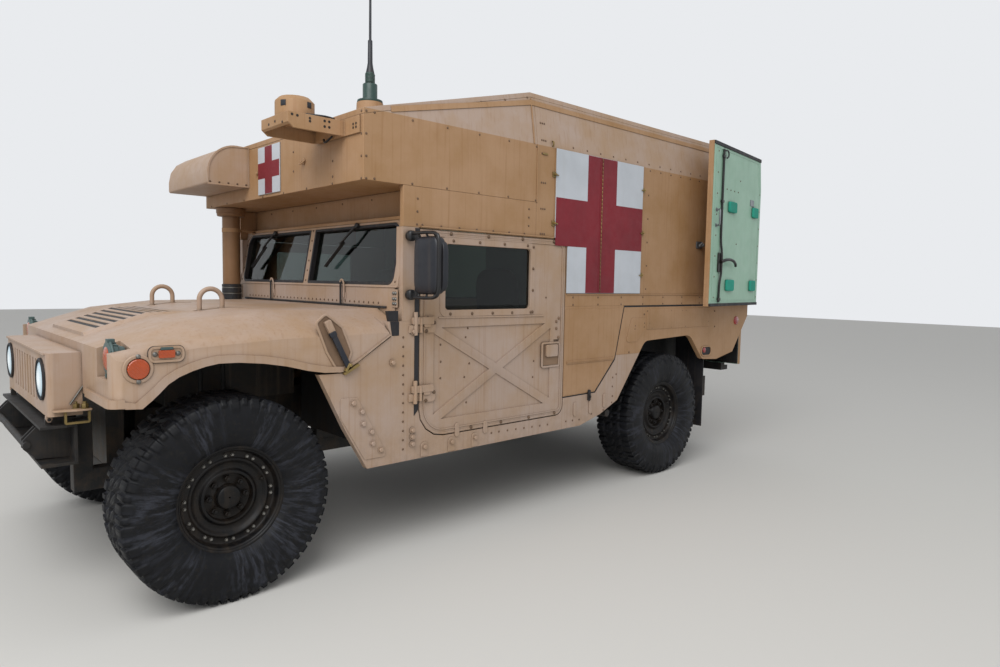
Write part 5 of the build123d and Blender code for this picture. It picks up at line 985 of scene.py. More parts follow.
# (first y, first z, last y, last z, pitch) round the window, then along the door's edges
SCREW_ROWS = [(-0.744, 1.668, -0.171, 1.67, 0.19), (-0.761, 1.268, -0.136, 1.268, 0.163),
              (-0.121, 1.27, -0.121, 1.664, 0.118), (-0.76, 1.705, 0.06, 1.708, 0.275),
              (-0.6, 0.616, 0.1, 0.616, 0.24)]


def inset(outline, gap):
    """The corners of a rectangle-like outline moved in by gap, towards its middle."""
    outline = np.asarray(outline, float)
    middle = (outline.min(axis=0) + outline.max(axis=0)) / 2
    return outline - np.sign(outline - middle) * gap


# edge flanges, window frame, bead, hinge plates and paddle of the left door
fittings = []
for gap, least, width, out in ((0.03, 0.02, 0.007, 0.0045), (0.009, 0.01, 0.01, 0.002)):
    path = cornered(inset(DOOR_OUTLINE, gap), np.maximum(DOOR_RADII - gap, least), 10)
    fittings.append(framed(path, width, -0.001, out))
fittings += [framed(rounded(-0.815, 1.271, -0.122, 1.669, 0.022), 0.036, -0.001, 0.003),
             bar((-0.842, 1.25), (-0.02, 1.244), 0.0045, -0.001, 0.005, WALL_X)]
for low, high, arm in HINGES_Z:
    fittings += [plate(rounded(-0.945, low, -0.862, high, 0.022), 0.007),
                 plate(rounded(-1.02, arm - 0.004, -0.88, arm + 0.034, 0.006), 0.016, 0),
                 plate(rounded(-0.944, arm - 0.02, -0.9, arm + 0.01, 0.008), 0.014, 0),
                 turned([(-0.062, 0.01), (-0.06, 0.012), (0.06, 0.012), (0.062, 0.01)],
                        (WALL_X + 0.008, -0.997, arm), UPWARD)]
fittings += [framed(rounded(-0.026, 0.921, 0.13, 1.07, 0.01), 0.012, -0.001, 0.006),
             plate(rounded(0.004, 0.984, 0.11, 1.06, 0.012), 0.013, 0)]
hinge_bolts = [spot for low, high, _ in HINGES_Z
               for spot in ((-0.918, high - 0.012), (-0.872, high - 0.038), (-0.926, low + 0.01))]
screws = [scattered(rivet_shape, on_side(DOOR_DOTS, -0.007)),
          scattered(screw_shape, on_side(rows(*SCREW_ROWS), 0.001)),
          scattered(screw_shape, on_side(hinge_bolts, 0.007))]
# The latch well is a thin plate of shadow_paint: painted shade for the recess round the paddle.
latch = [scattered(screw_shape, on_side(LATCH_DOTS)),
         plate(rect(-0.018, 0.93, 0.122, 1.062), 0.0012, 0.0005)]
# This black is painted shade, for the sensor tray's holes further down.
hole_shade_paint = coated("black painted shade in the tray's holes", "#1A1512", "#241D18", 0.6, 0.2)
for body, turn in (("cab_door_left", joined), ("cab_door_right", lambda shapes: mirrored(joined(shapes)))):
    dressed(body, sand, edge=0.0012)
    piece_of(body + "_fittings", [turn(fittings)], sand, body, edge=0.0022)
    piece_of(body + "_screws", [turn(screws)], rivet_shade_paint, body, angle=50)
    piece_of(body + "_latch_well", [turn(latch)], shadow_paint, body)
door_seal = plate([(-0.999, 0.73), (-0.972, 0.76), (-0.972, 1.722), (-0.999, 1.722)], 0.0022, 0.004)
piece_of("door_seals", both(door_seal), seal_rubber)
rain_rail = [bar((-0.965, z), (0.054, z), half, -0.001, out, WALL_X)
             for z, half, out in ((1.732, 0.004, 0.01), (1.7255, 0.002, 0.005))]
piece_of("rain_rails", both(*rain_rail), box_sand, edge=0.001)


# Mirrors: moulded black plastic heads in bent steel tube frames, clamped to the windscreen posts.
# The glass faces the driver and is silvered behind.
MIRROR_MID, MIRROR_HALF, TUBE_Y = np.array([1.218, -1.018, 1.525]), np.array([0.098, 0.038, 0.146]), -1.04
# (x, z) along the bent tube, from the upper clamp to the lower one
MIRROR_ARM = [(1.066, 1.687), (1.13, 1.69), (1.23, 1.69), (1.295, 1.682), (1.321, 1.65), (1.323, 1.525),
              (1.321, 1.4), (1.295, 1.368), (1.23, 1.361), (1.13, 1.361), (1.066, 1.364)]


def pillow(centre, half, power, across=48, up=24):
    """Closed rounded block: the sum of each distance over its half size, to the given power, is 1."""
    def bent(value):
        """The value's size to the power 2 / power, with its sign."""
        return np.sign(value) * np.abs(value) ** (2 / power)

    lon = 2 * np.pi * np.arange(across) / across
    lat = np.linspace(-np.pi / 2, np.pi / 2, up + 1)[1:-1, None]
    ring = bent(np.cos(lat))
    unit = np.stack(np.broadcast_arrays(ring * bent(np.cos(lon)), ring * bent(np.sin(lon)),
                                        bent(np.sin(lat))), axis=-1)
    return skin(unit * half + centre)


black_plastic = coated("black moulded plastic, lightly grained", "#141821", "#1A1D24", 0.42, 0.12,
                       grain=0.0006)
silvering, tree, shader = finish_of("silvered glass")
smear = add(tree, "TexNoise", {"Vector": add(tree, "TexCoord", out="Object"), "Scale": 9.0, "Detail": 6.0})
tone = add(tree, "Mix", {0: smear, 6: linear("#DDE3E6"), 7: linear("#B4BABC")}, out=2, data_type="RGBA")
put(tree, shader, {"Base Color": tone, "Metallic": 1.0, "Roughness": 0.04})
heads = both(pillow(MIRROR_MID, MIRROR_HALF, 5.5),
             pillow(MIRROR_MID + (0.03, 0.02, -0.004), (0.08, 0.022, 0.128), 5))
arm = [tube(smoothed(on_plane(MIRROR_ARM, 1, TUBE_Y), 72), 0.0085, 12, FORWARD)]
arm += [pillow((1.088, TUBE_Y, z), (0.02, 0.024, 0.028), 3.0, 24, 12) for z in (1.678, 1.374)]
arm += [at_side([(0, 0.022), (0.006, 0.022), (0.008, 0.018)], TUBE_Y, z, -0.001, 20) for z in (1.678, 1.374)]
arm += [tube([(x, TUBE_Y, z), (x, TUBE_Y + 0.012, z + down)], 0.006, hint=OUTWARD)
        for z, down in ((1.689, -0.022), (1.362, 0.022)) for x in (1.15, 1.215, 1.28)]
mirror_glass = both(slab(rounded(1.145, 1.4, 1.295, 1.645, 0.03), 1, -0.979, -0.9765))
for name, shapes, material, angle in (("heads", heads, black_plastic, 60),
                                      ("arms", both(*arm), black_paint, 60),
                                      ("glasses", mirror_glass, silvering, 35)):
    piece_of("mirror_" + name, shapes, material, stands_for=["mirrors"], angle=angle)


# Nose housing: folded sand-painted cover over the air unit on the right of the part over the cab.
# Its bottom edge is riveted, and a raised lip runs round its inner end.
NOSE_R, EYE_X, EYE_Z = 0.175, 0.443, 2.096
# (x from EYE_X, y from the front, z from EYE_Z) along the cable through the eye
EYE_LOOP = [(-0.018, -0.004, 0.002), (-0.011, -0.022, -0.016), (0.009, -0.022, -0.016),
            (0.017, -0.004, 0.002)]
dressed("nose_housing", sand, edge=0.004)
low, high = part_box("nose_housing")
nose_row = rows((low.y + 0.012, low.z + 0.012, FRONT_Y - 0.02, low.z + 0.012, 0.055))
riveted("nose_rivets", (on_plane(nose_row, 0, high.x), OUTWARD), mirror=False)
t = np.linspace(np.pi / 2, np.pi, 16)
bow = np.stack([low.y + NOSE_R + NOSE_R * np.cos(t), high.z - NOSE_R + NOSE_R * np.sin(t)], axis=1)
lip = np.vstack([[(FRONT_Y - 0.001, high.z)], bow, [(low.y, low.z), (FRONT_Y - 0.001, low.z)]])
nose_side = ((high.x, 0, 0), BACKWARD, UPWARD)
piece_of("nose_lip", [framed(lip, 0.012, -0.001, 0.004, nose_side)], sand, edge=0.001)
front_bits = [turned([(0, 0.018), (0.004, 0.018), (0.005, 0.012)], (EYE_X, FRONT_Y, EYE_Z), FORWARD, 20),
              tube(smoothed(np.add(EYE_LOOP, (EYE_X, FRONT_Y, EYE_Z)), 16), 0.0045),
              turned([(0, 0.012), (0.012, 0.01), (0.014, 0.006)], (-0.172, FRONT_Y, 2.092), FORWARD)]
piece_of("front_eyes", front_bits, box_sand, angle=50)


# Air duct: painted steel column from the cowl to the part over the cab, in a clamped rubber boot below.
# A flat strap braces it back to the windscreen's corner.
DUCT_FOOT = (-0.905, -1.196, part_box("air_duct")[0].z)
DUCT_BRACE = [(-0.885, -1.142, 1.782), (-0.9, -1.06, 1.782), (-0.915, -1.012, 1.782)]
# (height over the foot, radius)
BOOT = [(0, 0.058), (0.002, 0.066), (0.034, 0.066), (0.038, 0.061), (0.046, 0.061), (0.05, 0.066),
        (0.092, 0.066), (0.096, 0.061), (0.104, 0.061), (0.108, 0.066), (0.134, 0.066), (0.137, 0.062),
        (0.145, 0.062), (0.148, 0.066), (0.162, 0.066), (0.166, 0.06)]
COLUMN = [(0.162, 0.059), (0.164, 0.0595), (0.64, 0.0595), (0.644, 0.09), (0.65, 0.094), (0.662, 0.094),
          (0.665, 0.098), (0.698, 0.098), (0.7005, 0.094)]


def hoop(middle, half, inner, outer):
    """Ring round the duct, from half below its middle to half above it."""
    low, high = middle - half, middle + half
    return turned([(low, inner), (low, outer), (high, outer), (high, inner)], DUCT_FOOT, UPWARD, 48,
                  closed=True)


duct_paint = coated("sand paint on rolled steel, stained", "#94704F", "#7D5D40", 0.5, 0.3, 0.6, runs=0.4,
                    dust="#8A6A48")
brace = [hoop(0.546, 0.014, 0.059, 0.062), tube(DUCT_BRACE, 0.008),
         turned([(0, 0.02), (0.01, 0.02), (0.012, 0.014)], (-0.915, -1.024, 1.762), UPWARD)]
for name, shapes, material, slot in (
        ("boot", [turned(BOOT, DUCT_FOOT, UPWARD, 48)], seal_rubber, "rubber"),
        ("clamps", [hoop(z, 0.004, 0.0615, 0.0655) for z in (0.042, 0.1, 0.141)], bolt_steel, "tan_paint"),
        ("column", [turned(COLUMN, DUCT_FOOT, UPWARD, 48)], duct_paint, "tan_paint"),
        ("brace", brace, box_sand, "tan_paint")):
    piece_of("duct_" + name, shapes, material, stands_for=["air_duct"], angle=40)


# Sensor mount: folded sheet tray bolted to the front, carrying a low round sensor with dark windows.
# Its cables loop out below and beside the dome.
SENSOR_X, SENSOR_Y, SENSOR_R, WINDOW_Z = 0.745, -1.511, 0.095, 2.3
TRAY_X, TRAY_Y, TRAY_PLATE_Y = 0.9, -1.6215, -1.3215
SIDE_HOLES = [(-1.6, 2.226), (-1.573, 2.224), (-1.508, 2.222), (-1.508, 2.208), (-1.43, 2.222),
              (-1.405, 2.222), (-1.43, 2.195), (-1.405, 2.195)]
TRAY_HOLES = [(0.69, 2.205), (0.76, 2.21), (0.84, 2.195)]
PLATE_HOLES = [(x, z) for x in (0.985, 1.012) for z in (2.195, 2.212)]
LOWER_CABLE = [(0.82, -1.345, 2.172), (0.8, -1.35, 2.16), (0.77, -1.352, 2.15), (0.748, -1.35, 2.152),
               (0.735, -1.346, 2.168)]
SIDE_CABLE = [(0.842, -1.5, 2.252), (0.87, -1.47, 2.248), (0.89, -1.42, 2.246), (0.886, -1.37, 2.244)]
dressed("sensor_bracket", box_sand, edge=0.002)
# The tray's holes are flat black discs: painted shade where the holes show dark.
hole_shade_disc = turned([(0, 0.0065), (0.0008, 0.0065)], steps=12)
front_holes = np.vstack([on_plane(TRAY_HOLES, 1, TRAY_Y), on_plane(PLATE_HOLES, 1, TRAY_PLATE_Y)])
holes = [scattered(hole_shade_disc, on_plane(SIDE_HOLES, 0, TRAY_X)), scattered(hole_shade_disc, front_holes, FORWARD)]
piece_of("tray_hole_shades", holes, hole_shade_paint)
windows = []
for heading in np.radians((20, -60, -140)):
    out = np.array([np.cos(heading), np.sin(heading), 0])
    centre = out * (SENSOR_R - 0.004) + (SENSOR_X, SENSOR_Y, WINDOW_Z)
    windows.append(turned([(0, 0.02), (0.006, 0.02), (0.007, 0.016)], centre, out, 4, start=0.5))
piece_of("sensor_windows", windows, black_plastic, edge=0.001)
cap = turned([(0, 0.03), (0.01, 0.028), (0.016, 0.012), (0.017, 0.002)],
             (SENSOR_X, SENSOR_Y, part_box("sensor_bracket")[1].z - 0.018), UPWARD, 24)
piece_of("sensor_cap", [cap], can_paint, angle=60)
cables = [tube(smoothed(path, count), 0.0055, hint=(0.3, 0.5, 0.8))
          for path, count in ((LOWER_CABLE, 30), (SIDE_CABLE, 24))]
piece_of("sensor_cables", cables, black_paint, angle=60)


# Antenna: whip on a sprung mount, bolted through a sand-painted pad on the roof's slope.
# The flange and spring housing are green, the rubber bulb and the whip are black.
ANTENNA_X, ANTENNA_Y, WHIP_Z = 0.8, -1.111, 2.708
PAD = [(-0.058, 0.072), (0.003, 0.07), (0.006, 0.066)]
MOUNT = [(0, 0.066), (0.004, 0.068), (0.014, 0.066), (0.018, 0.05), (0.02, 0.04), (0.022, 0.0385),
         (0.096, 0.0385), (0.1, 0.036)]
BULB = [(0, 0.022), (0.01, 0.024), (0.03, 0.0255), (0.052, 0.024), (0.085, 0.017), (0.11, 0.013),
        (0.225, 0.012), (0.228, 0.009)]
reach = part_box("antenna")[1].z - WHIP_Z
WHIP = [(0, 0.007), (0.3, 0.006), (1.1, 0.0045), (reach - 0.006, 0.0035), (reach - 0.001, 0.002)]
green_paint = coated("dark green paint on steel", "#1F3A35", "#274640", 0.4, 0.12)
pad, mount, bulb, whip = (
    turned(profile, (ANTENNA_X, ANTENNA_Y, z), UPWARD, steps)
    for profile, z, steps in ((PAD, 2.378, 36), (MOUNT, 2.382, 36), (BULB, 2.482, 24), (WHIP, WHIP_Z, 12)))
coil = tube(wound((ANTENNA_X, ANTENNA_Y, 2.486), 0.02, 7, 160, 0.05), 0.0065)
for name, shapes, material, slot, angle in (("pad", [pad], box_sand, "tan_paint", 50),
                                            ("mount", [mount], green_paint, "green_paint", 40),
                                            ("whip", [bulb, whip], black_plastic, "black_plastic", 60),
                                            ("spring", [coil], green_paint, "green_paint", 60)):
    piece_of("antenna_" + name, shapes, material, stands_for=["antenna"], angle=angle)


# Medical panels: hinged aluminium covers sprayed white with a red cross, which fold to hide it.
# A piano hinge runs down each side panel, and turn catches hold its edges.
PANEL = ["medical_panels"]
low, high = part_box("medical_panels")
PANEL_X, PANEL_FRONT_Y = high.x, low.y
# ((low, high) across, (low, high) up)
SIDE_PANEL, FRONT_PANEL = ((0.063, 0.971), (1.384, 2.283)), ((-0.15, 0.15), (1.956, 2.24))
NOTCH_Y, NOTCH_Z = 0.184, 1.73
CROSS_LIFT, CROSS_SINK, CROSS_MARGIN = 0.0006, 0.001, 0.002
HINGE_Y = 0.512
CATCH_YZ = [(0.048, 2.12), (0.048, 1.82), (0.98, 2.118), (0.98, 1.816), (0.98, 1.516)]
panel_white = coated("white enamel on sheet aluminium", "#C6CBD2", "#B9BEC4", 0.35, 0.12, dust="#A9A69E")
cross_red = coated("red enamel sprayed over the white", "#7E0E20", "#6C0C1C", 0.5, dust="#5A2028")
hinge_metal = coated("worn brass-coloured hinge knuckles", "#8C6A44", "#5B3328", 0.4, 0.25, metallic=0.5)


def cross(panel):
    """Corners of a cross whose arms are a third of the panel wide and end a margin from its edges."""
    corners = [(1, 0), (2, 0), (2, 1), (3, 1), (3, 2), (2, 2), (2, 3), (1, 3), (1, 2), (0, 2), (0, 1),
               (1, 1)]
    low, high = np.transpose(panel)
    return np.clip(np.array(corners) / 3 * (high - low) + low, low + CROSS_MARGIN, high - CROSS_MARGIN)


(y0, y1), (z0, z1) = SIDE_PANEL
white = [(y0, NOTCH_Z), (NOTCH_Y, NOTCH_Z), (NOTCH_Y, z0), (y1, z0), (y1, z1), (y0, z1)]
front_white = brick(FRONT_PANEL[0], (PANEL_FRONT_Y, FRONT_Y), FRONT_PANEL[1])
whites = both(slab(white, 0, WALL_X, PANEL_X)) + [front_white]
piece_of("panel_plates", whites, panel_white, stands_for=PANEL, edge=0.002)
crosses = both(slab(cross(SIDE_PANEL), 0, PANEL_X - CROSS_SINK, PANEL_X + CROSS_LIFT))
crosses.append(slab(cross(FRONT_PANEL), 1, PANEL_FRONT_Y - CROSS_LIFT, PANEL_FRONT_Y + CROSS_SINK))
leaf = rect(HINGE_Y - 0.02, z0 + 0.004, HINGE_Y + 0.02, z1 - 0.004)
crosses += both(slab(leaf, 0, PANEL_X - CROSS_SINK, PANEL_X + 0.0018))
piece_of("panel_crosses", crosses, cross_red, stands_for=PANEL)
knuckle = turned([(-0.0115, 0.003), (-0.0105, 0.0042), (0.0105, 0.0042), (0.0115, 0.003)], steps=8)
knuckles = on_plane(rows((HINGE_Y, z0 + 0.018, HINGE_Y, z1 - 0.018, 0.0258)), 0, PANEL_X + 0.003)
piece_of("panel_hinges", both(scattered(knuckle, knuckles, UPWARD)), hinge_metal,
         stands_for=PANEL, angle=60)
catches = []
for y, z in CATCH_YZ:
    arm = [(WALL_X + 0.014, y, z), (WALL_X + 0.014, y + (0.03 if y < HINGE_Y else -0.03), z - 0.003)]
    catches += [plate(rect(y - 0.014, z - 0.016, y + 0.014, z + 0.016), 0.006, 0),
                at_side([(0, 0.008), (0.018, 0.007), (0.02, 0.004)], y, z, 0.004, 12), tube(arm, 0.004)]
catches += [turned([(-0.004, 0.013), (-0.004, 0.019), (0.004, 0.019), (0.004, 0.013)],
                   (WALL_X - 0.002, 0.032, 2.305), (0.3, 0.9, 0), 20, closed=True),
            plate(rect(-0.06, 2.229, -0.014, 2.239), 0.006, 0)]
piece_of("panel_catches_side", both(*catches), zinc, edge=0.001)
trims = [plate(rect(y - 0.0035, foot, y + 0.0035, z1), 0.004)
         for y, foot in ((y0 - 0.004, NOTCH_Z), (y1 + 0.004, z0))]
trims.append(plate(rect(0.19, z0 - 0.01, BACK_Y - 0.015, z0 - 0.003), 0.005))
piece_of("panel_trims", both(*trims), box_sand, edge=0.001)


# Rear doors: aluminium skins, sand outside and green inside, swung right round along the sides.
# Rubber runs along their ends, a rod and lever latch them, and four foam pads hold the litters off.
PIN, OPEN_TURN = np.array([1.072, 2.632, 0.0]), np.radians(-262)
LEAF_IN, LEAF_OUT = 2.587, 2.632
LEAF = [(0.005, 1.29), (1.06, 1.29), (1.06, FOLD_Z), (1.022, 2.54), (0.005, 2.54)]
ROD_X = 0.175
# (x, distance off the lining, z): on the latch rod and its hook x counts from ROD_X
ROD = [(0, 0.009, 1.322), (0, 0.009, 1.4), (0.004, 0.01, 1.47), (0.016, 0.014, 1.54), (0.014, 0.016, 1.6),
       (0.01, 0.018, 1.68), (0.012, 0.014, 1.73), (0.002, 0.01, 1.79), (0, 0.009, 1.9), (0, 0.009, 2.2),
       (0, 0.009, 2.495)]
HOOK = [(0, 0.01, 2.48), (0.03, 0.018, 2.488), (0.062, 0.018, 2.48), (0.066, 0.018, 2.448),
        (0.034, 0.018, 2.43)]
LEVER = [(0.172, 0.02, 1.635), (0.225, 0.034, 1.65), (0.3, 0.038, 1.656), (0.375, 0.038, 1.648),
         (0.425, 0.036, 1.628), (0.44, 0.034, 1.606)]
GRAB = [(0.09, 0.001, 2.028), (0.09, 0.02, 2.03), (0.084, 0.03, 2.022), (0.08, 0.032, 1.97),
        (0.084, 0.03, 1.918), (0.09, 0.02, 1.91), (0.09, 0.001, 1.912)]
# (first x, first z, last x, last z, pitch) of the rivets inside
LEAF_ROWS = [(0.09, 1.36, 0.09, 2.47, 0.16), (0.28, 2.205, 0.52, 2.205, 0.08),
             (1.025, 1.36, 1.025, 2.24, 0.16)]
PADS = [rect(x0, z0, x1, z1) for z0, z1 in ((1.41, 1.5), (2.03, 2.115))
        for x0, x1 in ((0.31, 0.465), (0.84, 0.96))]
LEAF_HINGES_Z = (1.42, 1.93, 2.22)


def swung(shapes, side):
    """Shapes of the closed left door turned about its pin to where it stands open, on the given side."""
    points, faces = joined(shapes)
    c, s = np.cos(OPEN_TURN), np.sin(OPEN_TURN)
    points = (points - PIN) @ np.array([[c, s, 0], [-s, c, 0], [0, 0, 1]]) + PIN
    return points * (side, 1, 1), faces


def rod_along(path, count, radius, steps, x=0.0, hint=OUTWARD):
    """Bar on the lining, bent along smooth (x, distance off the lining, z)."""
    return tube(smoothed(np.array(path) * (1, -1, 1) + (x, LEAF_IN, 0), count), radius, steps, hint)


def inside(x0, z0, x1, z1, off):
    """Block on the lining, standing off it."""
    return brick((x0, x1), (LEAF_IN - off, LEAF_IN), (z0, z1))


foam = coated("teal closed-cell foam", "#2AA08A", "#1F8C78", 0.8, 0.1, grain=0.003)
galvanised = coated("galvanised steel, dull grey", "#8E9296", "#74787C", 0.4, metallic=0.7)
shell = [slab(LEAF, 1, LEAF_IN + 0.003, LEAF_OUT)]
lining = [slab(inset(LEAF, 0.006), 1, LEAF_IN, LEAF_IN + 0.004),
          framed(cornered(inset(LEAF, 0.045), 0.01), 0.006, -0.001, 0.002,
                 ((0, LEAF_IN, 0), OUTWARD, UPWARD))]
seals = [brick((0.01, 1.056), (LEAF_IN - 0.006, LEAF_OUT - 0.004), (1.29, 1.313)),
         slab([(0.01, 2.512), (1.022, 2.512), (1.018, 2.5395), (0.01, 2.5395)], 1, LEAF_IN - 0.006,
              LEAF_IN + 0.004)]
latch = [rod_along(ROD, 90, 0.0085, 10, ROD_X), rod_along(HOOK, 30, 0.006, 8, ROD_X),
         slab(rounded(0.14, 1.555, 0.208, 1.705, 0.012), 1, LEAF_IN - 0.012, LEAF_IN),
         rod_along(LEVER, 40, np.linspace(0.013, 0.01, 40), 10, hint=UPWARD)]
latch += [inside(ROD_X - 0.018, z - 0.01, ROD_X + 0.018, z + 0.01, 0.018) for z in (1.345, 2.1, 2.44)]
grab = [rod_along(GRAB, 40, 0.007, 10)]
grab += [inside(0.074, z - 0.012, 0.106, z + 0.012, 0.003) for z in (1.911, 2.029)]
grab += [inside(0.8, 2.125, 0.88, 2.175, 0.004), inside(0.862, 2.06, 0.88, 2.125, 0.012)]
leaf_dots = on_plane(np.vstack([rows(*LEAF_ROWS), [(0.56, 2.3), (0.52, 1.79)]]), 1, LEAF_IN)
outside_dots = on_plane(rows(*((x, 1.34, x, 2.25, 0.13) for x in (0.04, 1.022))), 1, LEAF_OUT)
dots = [scattered(rivet_shape, leaf_dots, FORWARD), scattered(rivet_shape, outside_dots, BACKWARD)]
hinges = [slab(rounded(0.975, z, 1.06, z + 0.07, 0.008), 1, LEAF_OUT, LEAF_OUT + 0.006)
          for z in LEAF_HINGES_Z]
hinges += [turned([(0, 0.009), (0.07, 0.009)], PIN + (0, 0, z), UPWARD, 12) for z in LEAF_HINGES_Z]
for side, body in ((1, "rear_door_left"), (-1, "rear_door_right")):
    for name, shapes, material, slot, edge, angle in (
            ("skin", shell, box_sand, "tan_paint", 0.003, 35),
            ("lining", lining, pale_green, "green_door", 0.001, 35),
            ("seals", seals, seal_rubber, "rubber", 0.003, 35),
            ("latch", latch, black_paint, "black_steel", 0.001, 50),
            ("grab", grab, galvanised, "green_door", 0.001, 50),
            ("rivets", dots, rivet_shade_paint, "green_door", 0, 60),
            ("hinges", hinges, box_sand, "tan_paint", 0.001, 35)):
        stands_for = [] if name == "seals" else [body]
        piece_of(f"{body}_{name}", [swung(shapes, side)], material, body, stands_for, edge, angle)
    for number, corners in enumerate(PADS):
        (x, z), (half_x, half_z) = np.mean(corners, axis=0), np.ptp(corners, axis=0) / 2
        pad = pillow((x, LEAF_IN - 0.01, z), (half_x, 0.012, half_z), 7, 40, 20)
        pad = piece_of(f"{body}_pad_{number}", [swung([pad], side)], foam, body, [body], angle=60)
holder = both(plate(rounded(1.7, 1.74, 1.79, 1.796, 0.012), 0.006, 0),
              at_side([(0, 0.016), (0.035, 0.014), (0.038, 0.01)], 1.76, 1.768),
              tube([(WALL_X + 0.02, 1.715, 1.755), (WALL_X + 0.03, 1.745, 1.785)], 0.007))
piece_of("door_holders", holder, galvanised, edge=0.001)


# Tailgate and tail lamps: pressed steel gate, sand outside and green inside, and black lamp boxes
# with red lenses on the bumper.
GATE_RIBS_X, GATE_BOLTS_X, TAIL_LENS_X = (0.2, 0.52, 0.82), (0.34, 0.68, 0.95), (0.595, 0.655)
dressed("tailgate", box_sand, pale_green, choose=lambda centres, normals: normals[:, 1] < -0.9)
gate_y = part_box("tailgate")[1].y - 0.018
ribs = [slab(rounded(x - 0.03, 0.83, x + 0.03, 1.22, 0.028), 1, gate_y - 0.002, gate_y + 0.008)
        for x in GATE_RIBS_X]
piece_of("tailgate_ribs", both(*ribs), box_sand, "tailgate", edge=0.003)
gate_bolts = [(x, gate_y, z) for x in GATE_BOLTS_X for z in (0.8, 1.25)]
riveted("tailgate_rivets", (gate_bolts, BACKWARD), body="tailgate")
dressed("tail_lamps", black_steel, edge=0.002)
lamp_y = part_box("tail_lamps")[1].y - 0.0005
lens_profile = [(0, 0.025), (0.004, 0.024), (0.006, 0.018), (0.0065, 0.003)]
tail_lenses = [turned(lens_profile, (x, lamp_y, 0.656), BACKWARD, 24) for x in TAIL_LENS_X]
piece_of("tail_lenses", both(*tail_lenses), red_lens, angle=50)


# Inside the cab: padded seats in woven covers on steel boxes, a black crackle dashboard and a moulded
# steering wheel on its column. They show darkly through the glass.
SEAT_IN, SEAT_OUT, SEAT_BACK_Y, SEAT_TOP = 0.4, 0.86, 0.009, 0.895
PUFF_FRAMES, PUFF_VOXEL, PUFF_PRESSURE, PUFF_QUALITY = 16, 0.014, 4.0, 4
WHEEL_AT, WHEEL_AXIS = np.array([0.63, -0.661, 1.19]), np.array([0, 0.866, 0.5])
WHEEL_RING, GRIP_R = 0.188, 0.014
seat_cloth, tree, shader = finish_of("dark green woven seat cover")
at = add(tree, "TexCoord", out="Object")
warp, weft = (add(tree, "TexWave", {"Vector": at, "Scale": 160.0}, bands_direction=way) for way in "XY")
weave = add(tree, "Math", {0: warp, 1: weft}, operation="MULTIPLY")
worn = add(tree, "TexNoise", {"Vector": at, "Scale": 7.0, "Detail": 6.0})
tone = add(tree, "Mix", {0: worn, 6: linear("#2A3530"), 7: linear("#3C463C")}, out=2, data_type="RGBA")
bump = add(tree, "Bump", {"Height": weave, "Distance": 0.001, "Strength": 0.5})
put(tree, shader, {"Base Color": tone, "Normal": bump, "Roughness": 0.85, "Sheen Weight": 0.3})


def tilted(shape, centre, degrees):
    """The shape turned about the X direction through centre."""
    a = np.radians(degrees)
    turn = np.array([[1, 0, 0], [0, np.cos(a), np.sin(a)], [0, -np.sin(a), np.cos(a)]])
    return (shape[0] - centre) @ turn + centre, shape[1]


def baked(trial):
    """New mesh of an object as its modifiers leave it, and its points."""
    mesh = bpy.data.meshes.new_from_object(trial.evaluated_get(bpy.context.evaluated_depsgraph_get()))
    points = np.zeros(len(mesh.vertices) * 3)
    mesh.vertices.foreach_get("co", points)
    return mesh, points.reshape(-1, 3)


def stuffed(name, shape, stands_for, material, cap, smooth=1):
    """Padded piece: its skin is remeshed and blown up as cloth, and no point moves further than cap."""
    piece = piece_of(name, [shape], material, stands_for=[stands_for], angle=80)
    trial = stood("trial", piece.data.copy())
    remesh = trial.modifiers.new("remesh", "REMESH")
    remesh.mode, remesh.voxel_size = "VOXEL", PUFF_VOXEL
    bpy.context.view_layer.update()
    even, start = baked(trial)
    trial.modifiers.clear()
    trial.data = even
    cloth = trial.modifiers.new("cloth", "CLOTH").settings
    cloth.use_pressure, cloth.uniform_pressure_force, cloth.quality = True, PUFF_PRESSURE, PUFF_QUALITY
    cloth.effector_weights.gravity = 0
    for count in range(1, PUFF_FRAMES + 1):
        bpy.context.scene.frame_set(count)
    move = baked(trial)[1] - start
    length = np.linalg.norm(move, axis=1)[:, None]
    held = start + move * np.minimum(1, cap / np.maximum(length, 1e-9))
    even.vertices.foreach_set("co", held.ravel())
    even.materials.clear()
    even.materials.append(material)
    even.shade_smooth()
    piece.data = even
    bpy.data.objects.remove(trial)
    bpy.context.scene.frame_set(1)
    softening = piece.modifiers.new("softening", "SUBSURF")
    softening.levels = softening.render_levels = smooth


for side, hand in ((1, "left"), (-1, "right")):
    at = np.array([side * (SEAT_IN + SEAT_OUT) / 2, SEAT_BACK_Y - 0.275, 0.95])
    cushion = pillow(at, (0.215, 0.245, 0.048), 4.5)
    stuffed("seat_cushion_" + hand, cushion, "cab_seats", seat_cloth, 0.01)
    at[1:] = SEAT_BACK_Y - 0.022, 1.285
    back = tilted(pillow(at, (0.205, 0.042, 0.262), 4.0), at, 5.0)
    stuffed("seat_back_" + hand, back, "cab_seats", seat_cloth, 0.01)
seat_box = brick((SEAT_IN + 0.02, SEAT_OUT - 0.02), (SEAT_BACK_Y - 0.5, SEAT_BACK_Y - 0.01),
                 (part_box("cab_seats")[0].z, SEAT_TOP))
piece_of("seat_boxes", both(seat_box), black_steel, stands_for=["cab_seats"], edge=0.006)
crackle = coated("black crackle paint on the dashboard", "#1B1C1E", "#232426", 0.6, 0.25, grain=0.002)
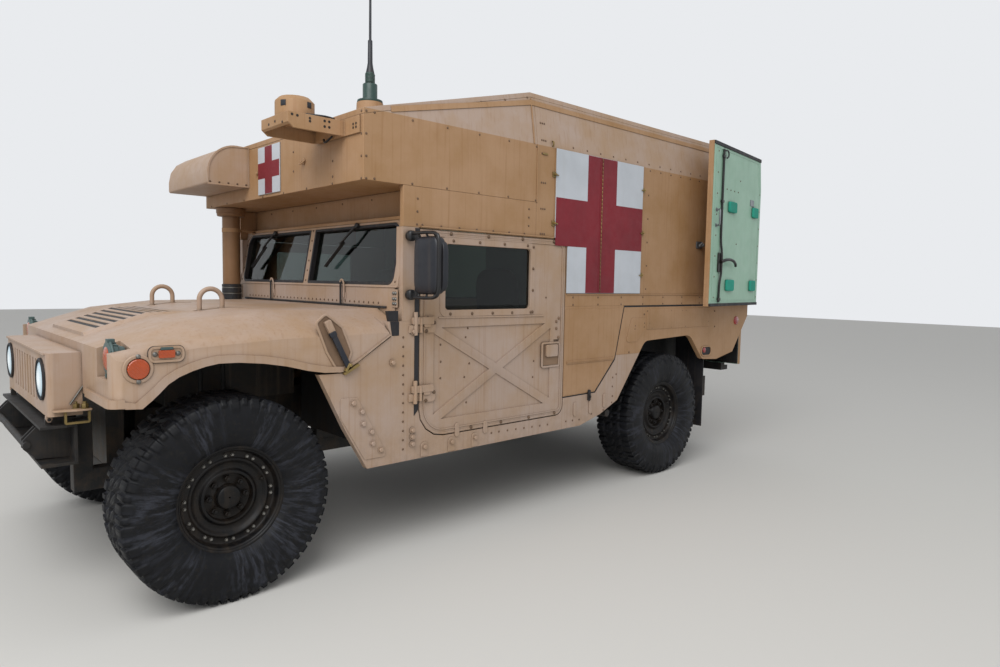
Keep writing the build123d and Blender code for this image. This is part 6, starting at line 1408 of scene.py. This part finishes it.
dressed("dashboard", crackle, edge=0.008)
turn = 2 * np.pi * np.arange(12) / 12
grip = np.stack([0.011 + GRIP_R * np.sin(turn), WHEEL_RING + GRIP_R * np.cos(turn)], axis=1)
steering = [turned(grip, WHEEL_AT, WHEEL_AXIS, 48, closed=True)]
_, across, down = basis(WHEEL_AXIS)
for way in (across, -across, -down):
    spoke = [WHEEL_AT, WHEEL_AT + way * WHEEL_RING + WHEEL_AXIS * 0.008]
    steering.append(tube(spoke, (0.018, 0.011), 10, WHEEL_AXIS))
steering.append(turned([(-0.24, 0.024), (-0.01, 0.024), (-0.006, 0.045), (0.012, 0.045), (0.02, 0.034)],
                       WHEEL_AT, WHEEL_AXIS, 24))
piece_of("steering", steering, black_plastic, stands_for=["steering_wheel"], angle=50)


# Inside the box: steel benches on the wheel houses with long pads of green coated fabric, for litters.
# Each pad is one foam block with a welded seam round its edge.
BENCH_IN, BENCH_OUT, BENCH_TOP, BENCH_LID, PAD_GAP = 0.56, 1.024, 1.1, 0.008, 0.008
low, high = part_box("litter_benches")
vinyl = coated("green coated fabric", "#3E5547", "#4A6152", 0.5, dust="#6E7A6A", grain=0.001)
skirts = both(brick((BENCH_IN, BENCH_IN + 0.03), (low.y, high.y), (low.z, BENCH_TOP)),
              brick((BENCH_IN, BENCH_OUT), (low.y, high.y), (BENCH_TOP - 0.0005, BENCH_TOP + BENCH_LID)))
piece_of("bench_boxes", skirts, pale_green, stands_for=["litter_benches"], edge=0.003)
pad_z, pad_half = (BENCH_TOP + BENCH_LID + high.z) / 2, (high.z - BENCH_TOP - BENCH_LID) / 2 - 0.004
half = ((BENCH_OUT - BENCH_IN) / 2 - PAD_GAP, (high.y - low.y) / 2 - PAD_GAP, pad_half)
for side, hand in ((1, "left"), (-1, "right")):
    pad = pillow((side * (BENCH_IN + BENCH_OUT) / 2, (low.y + high.y) / 2, pad_z), half, 9, 96, 32)
    stuffed("bench_pad_" + hand, pad, "litter_benches", vinyl, 0.006, smooth=0)
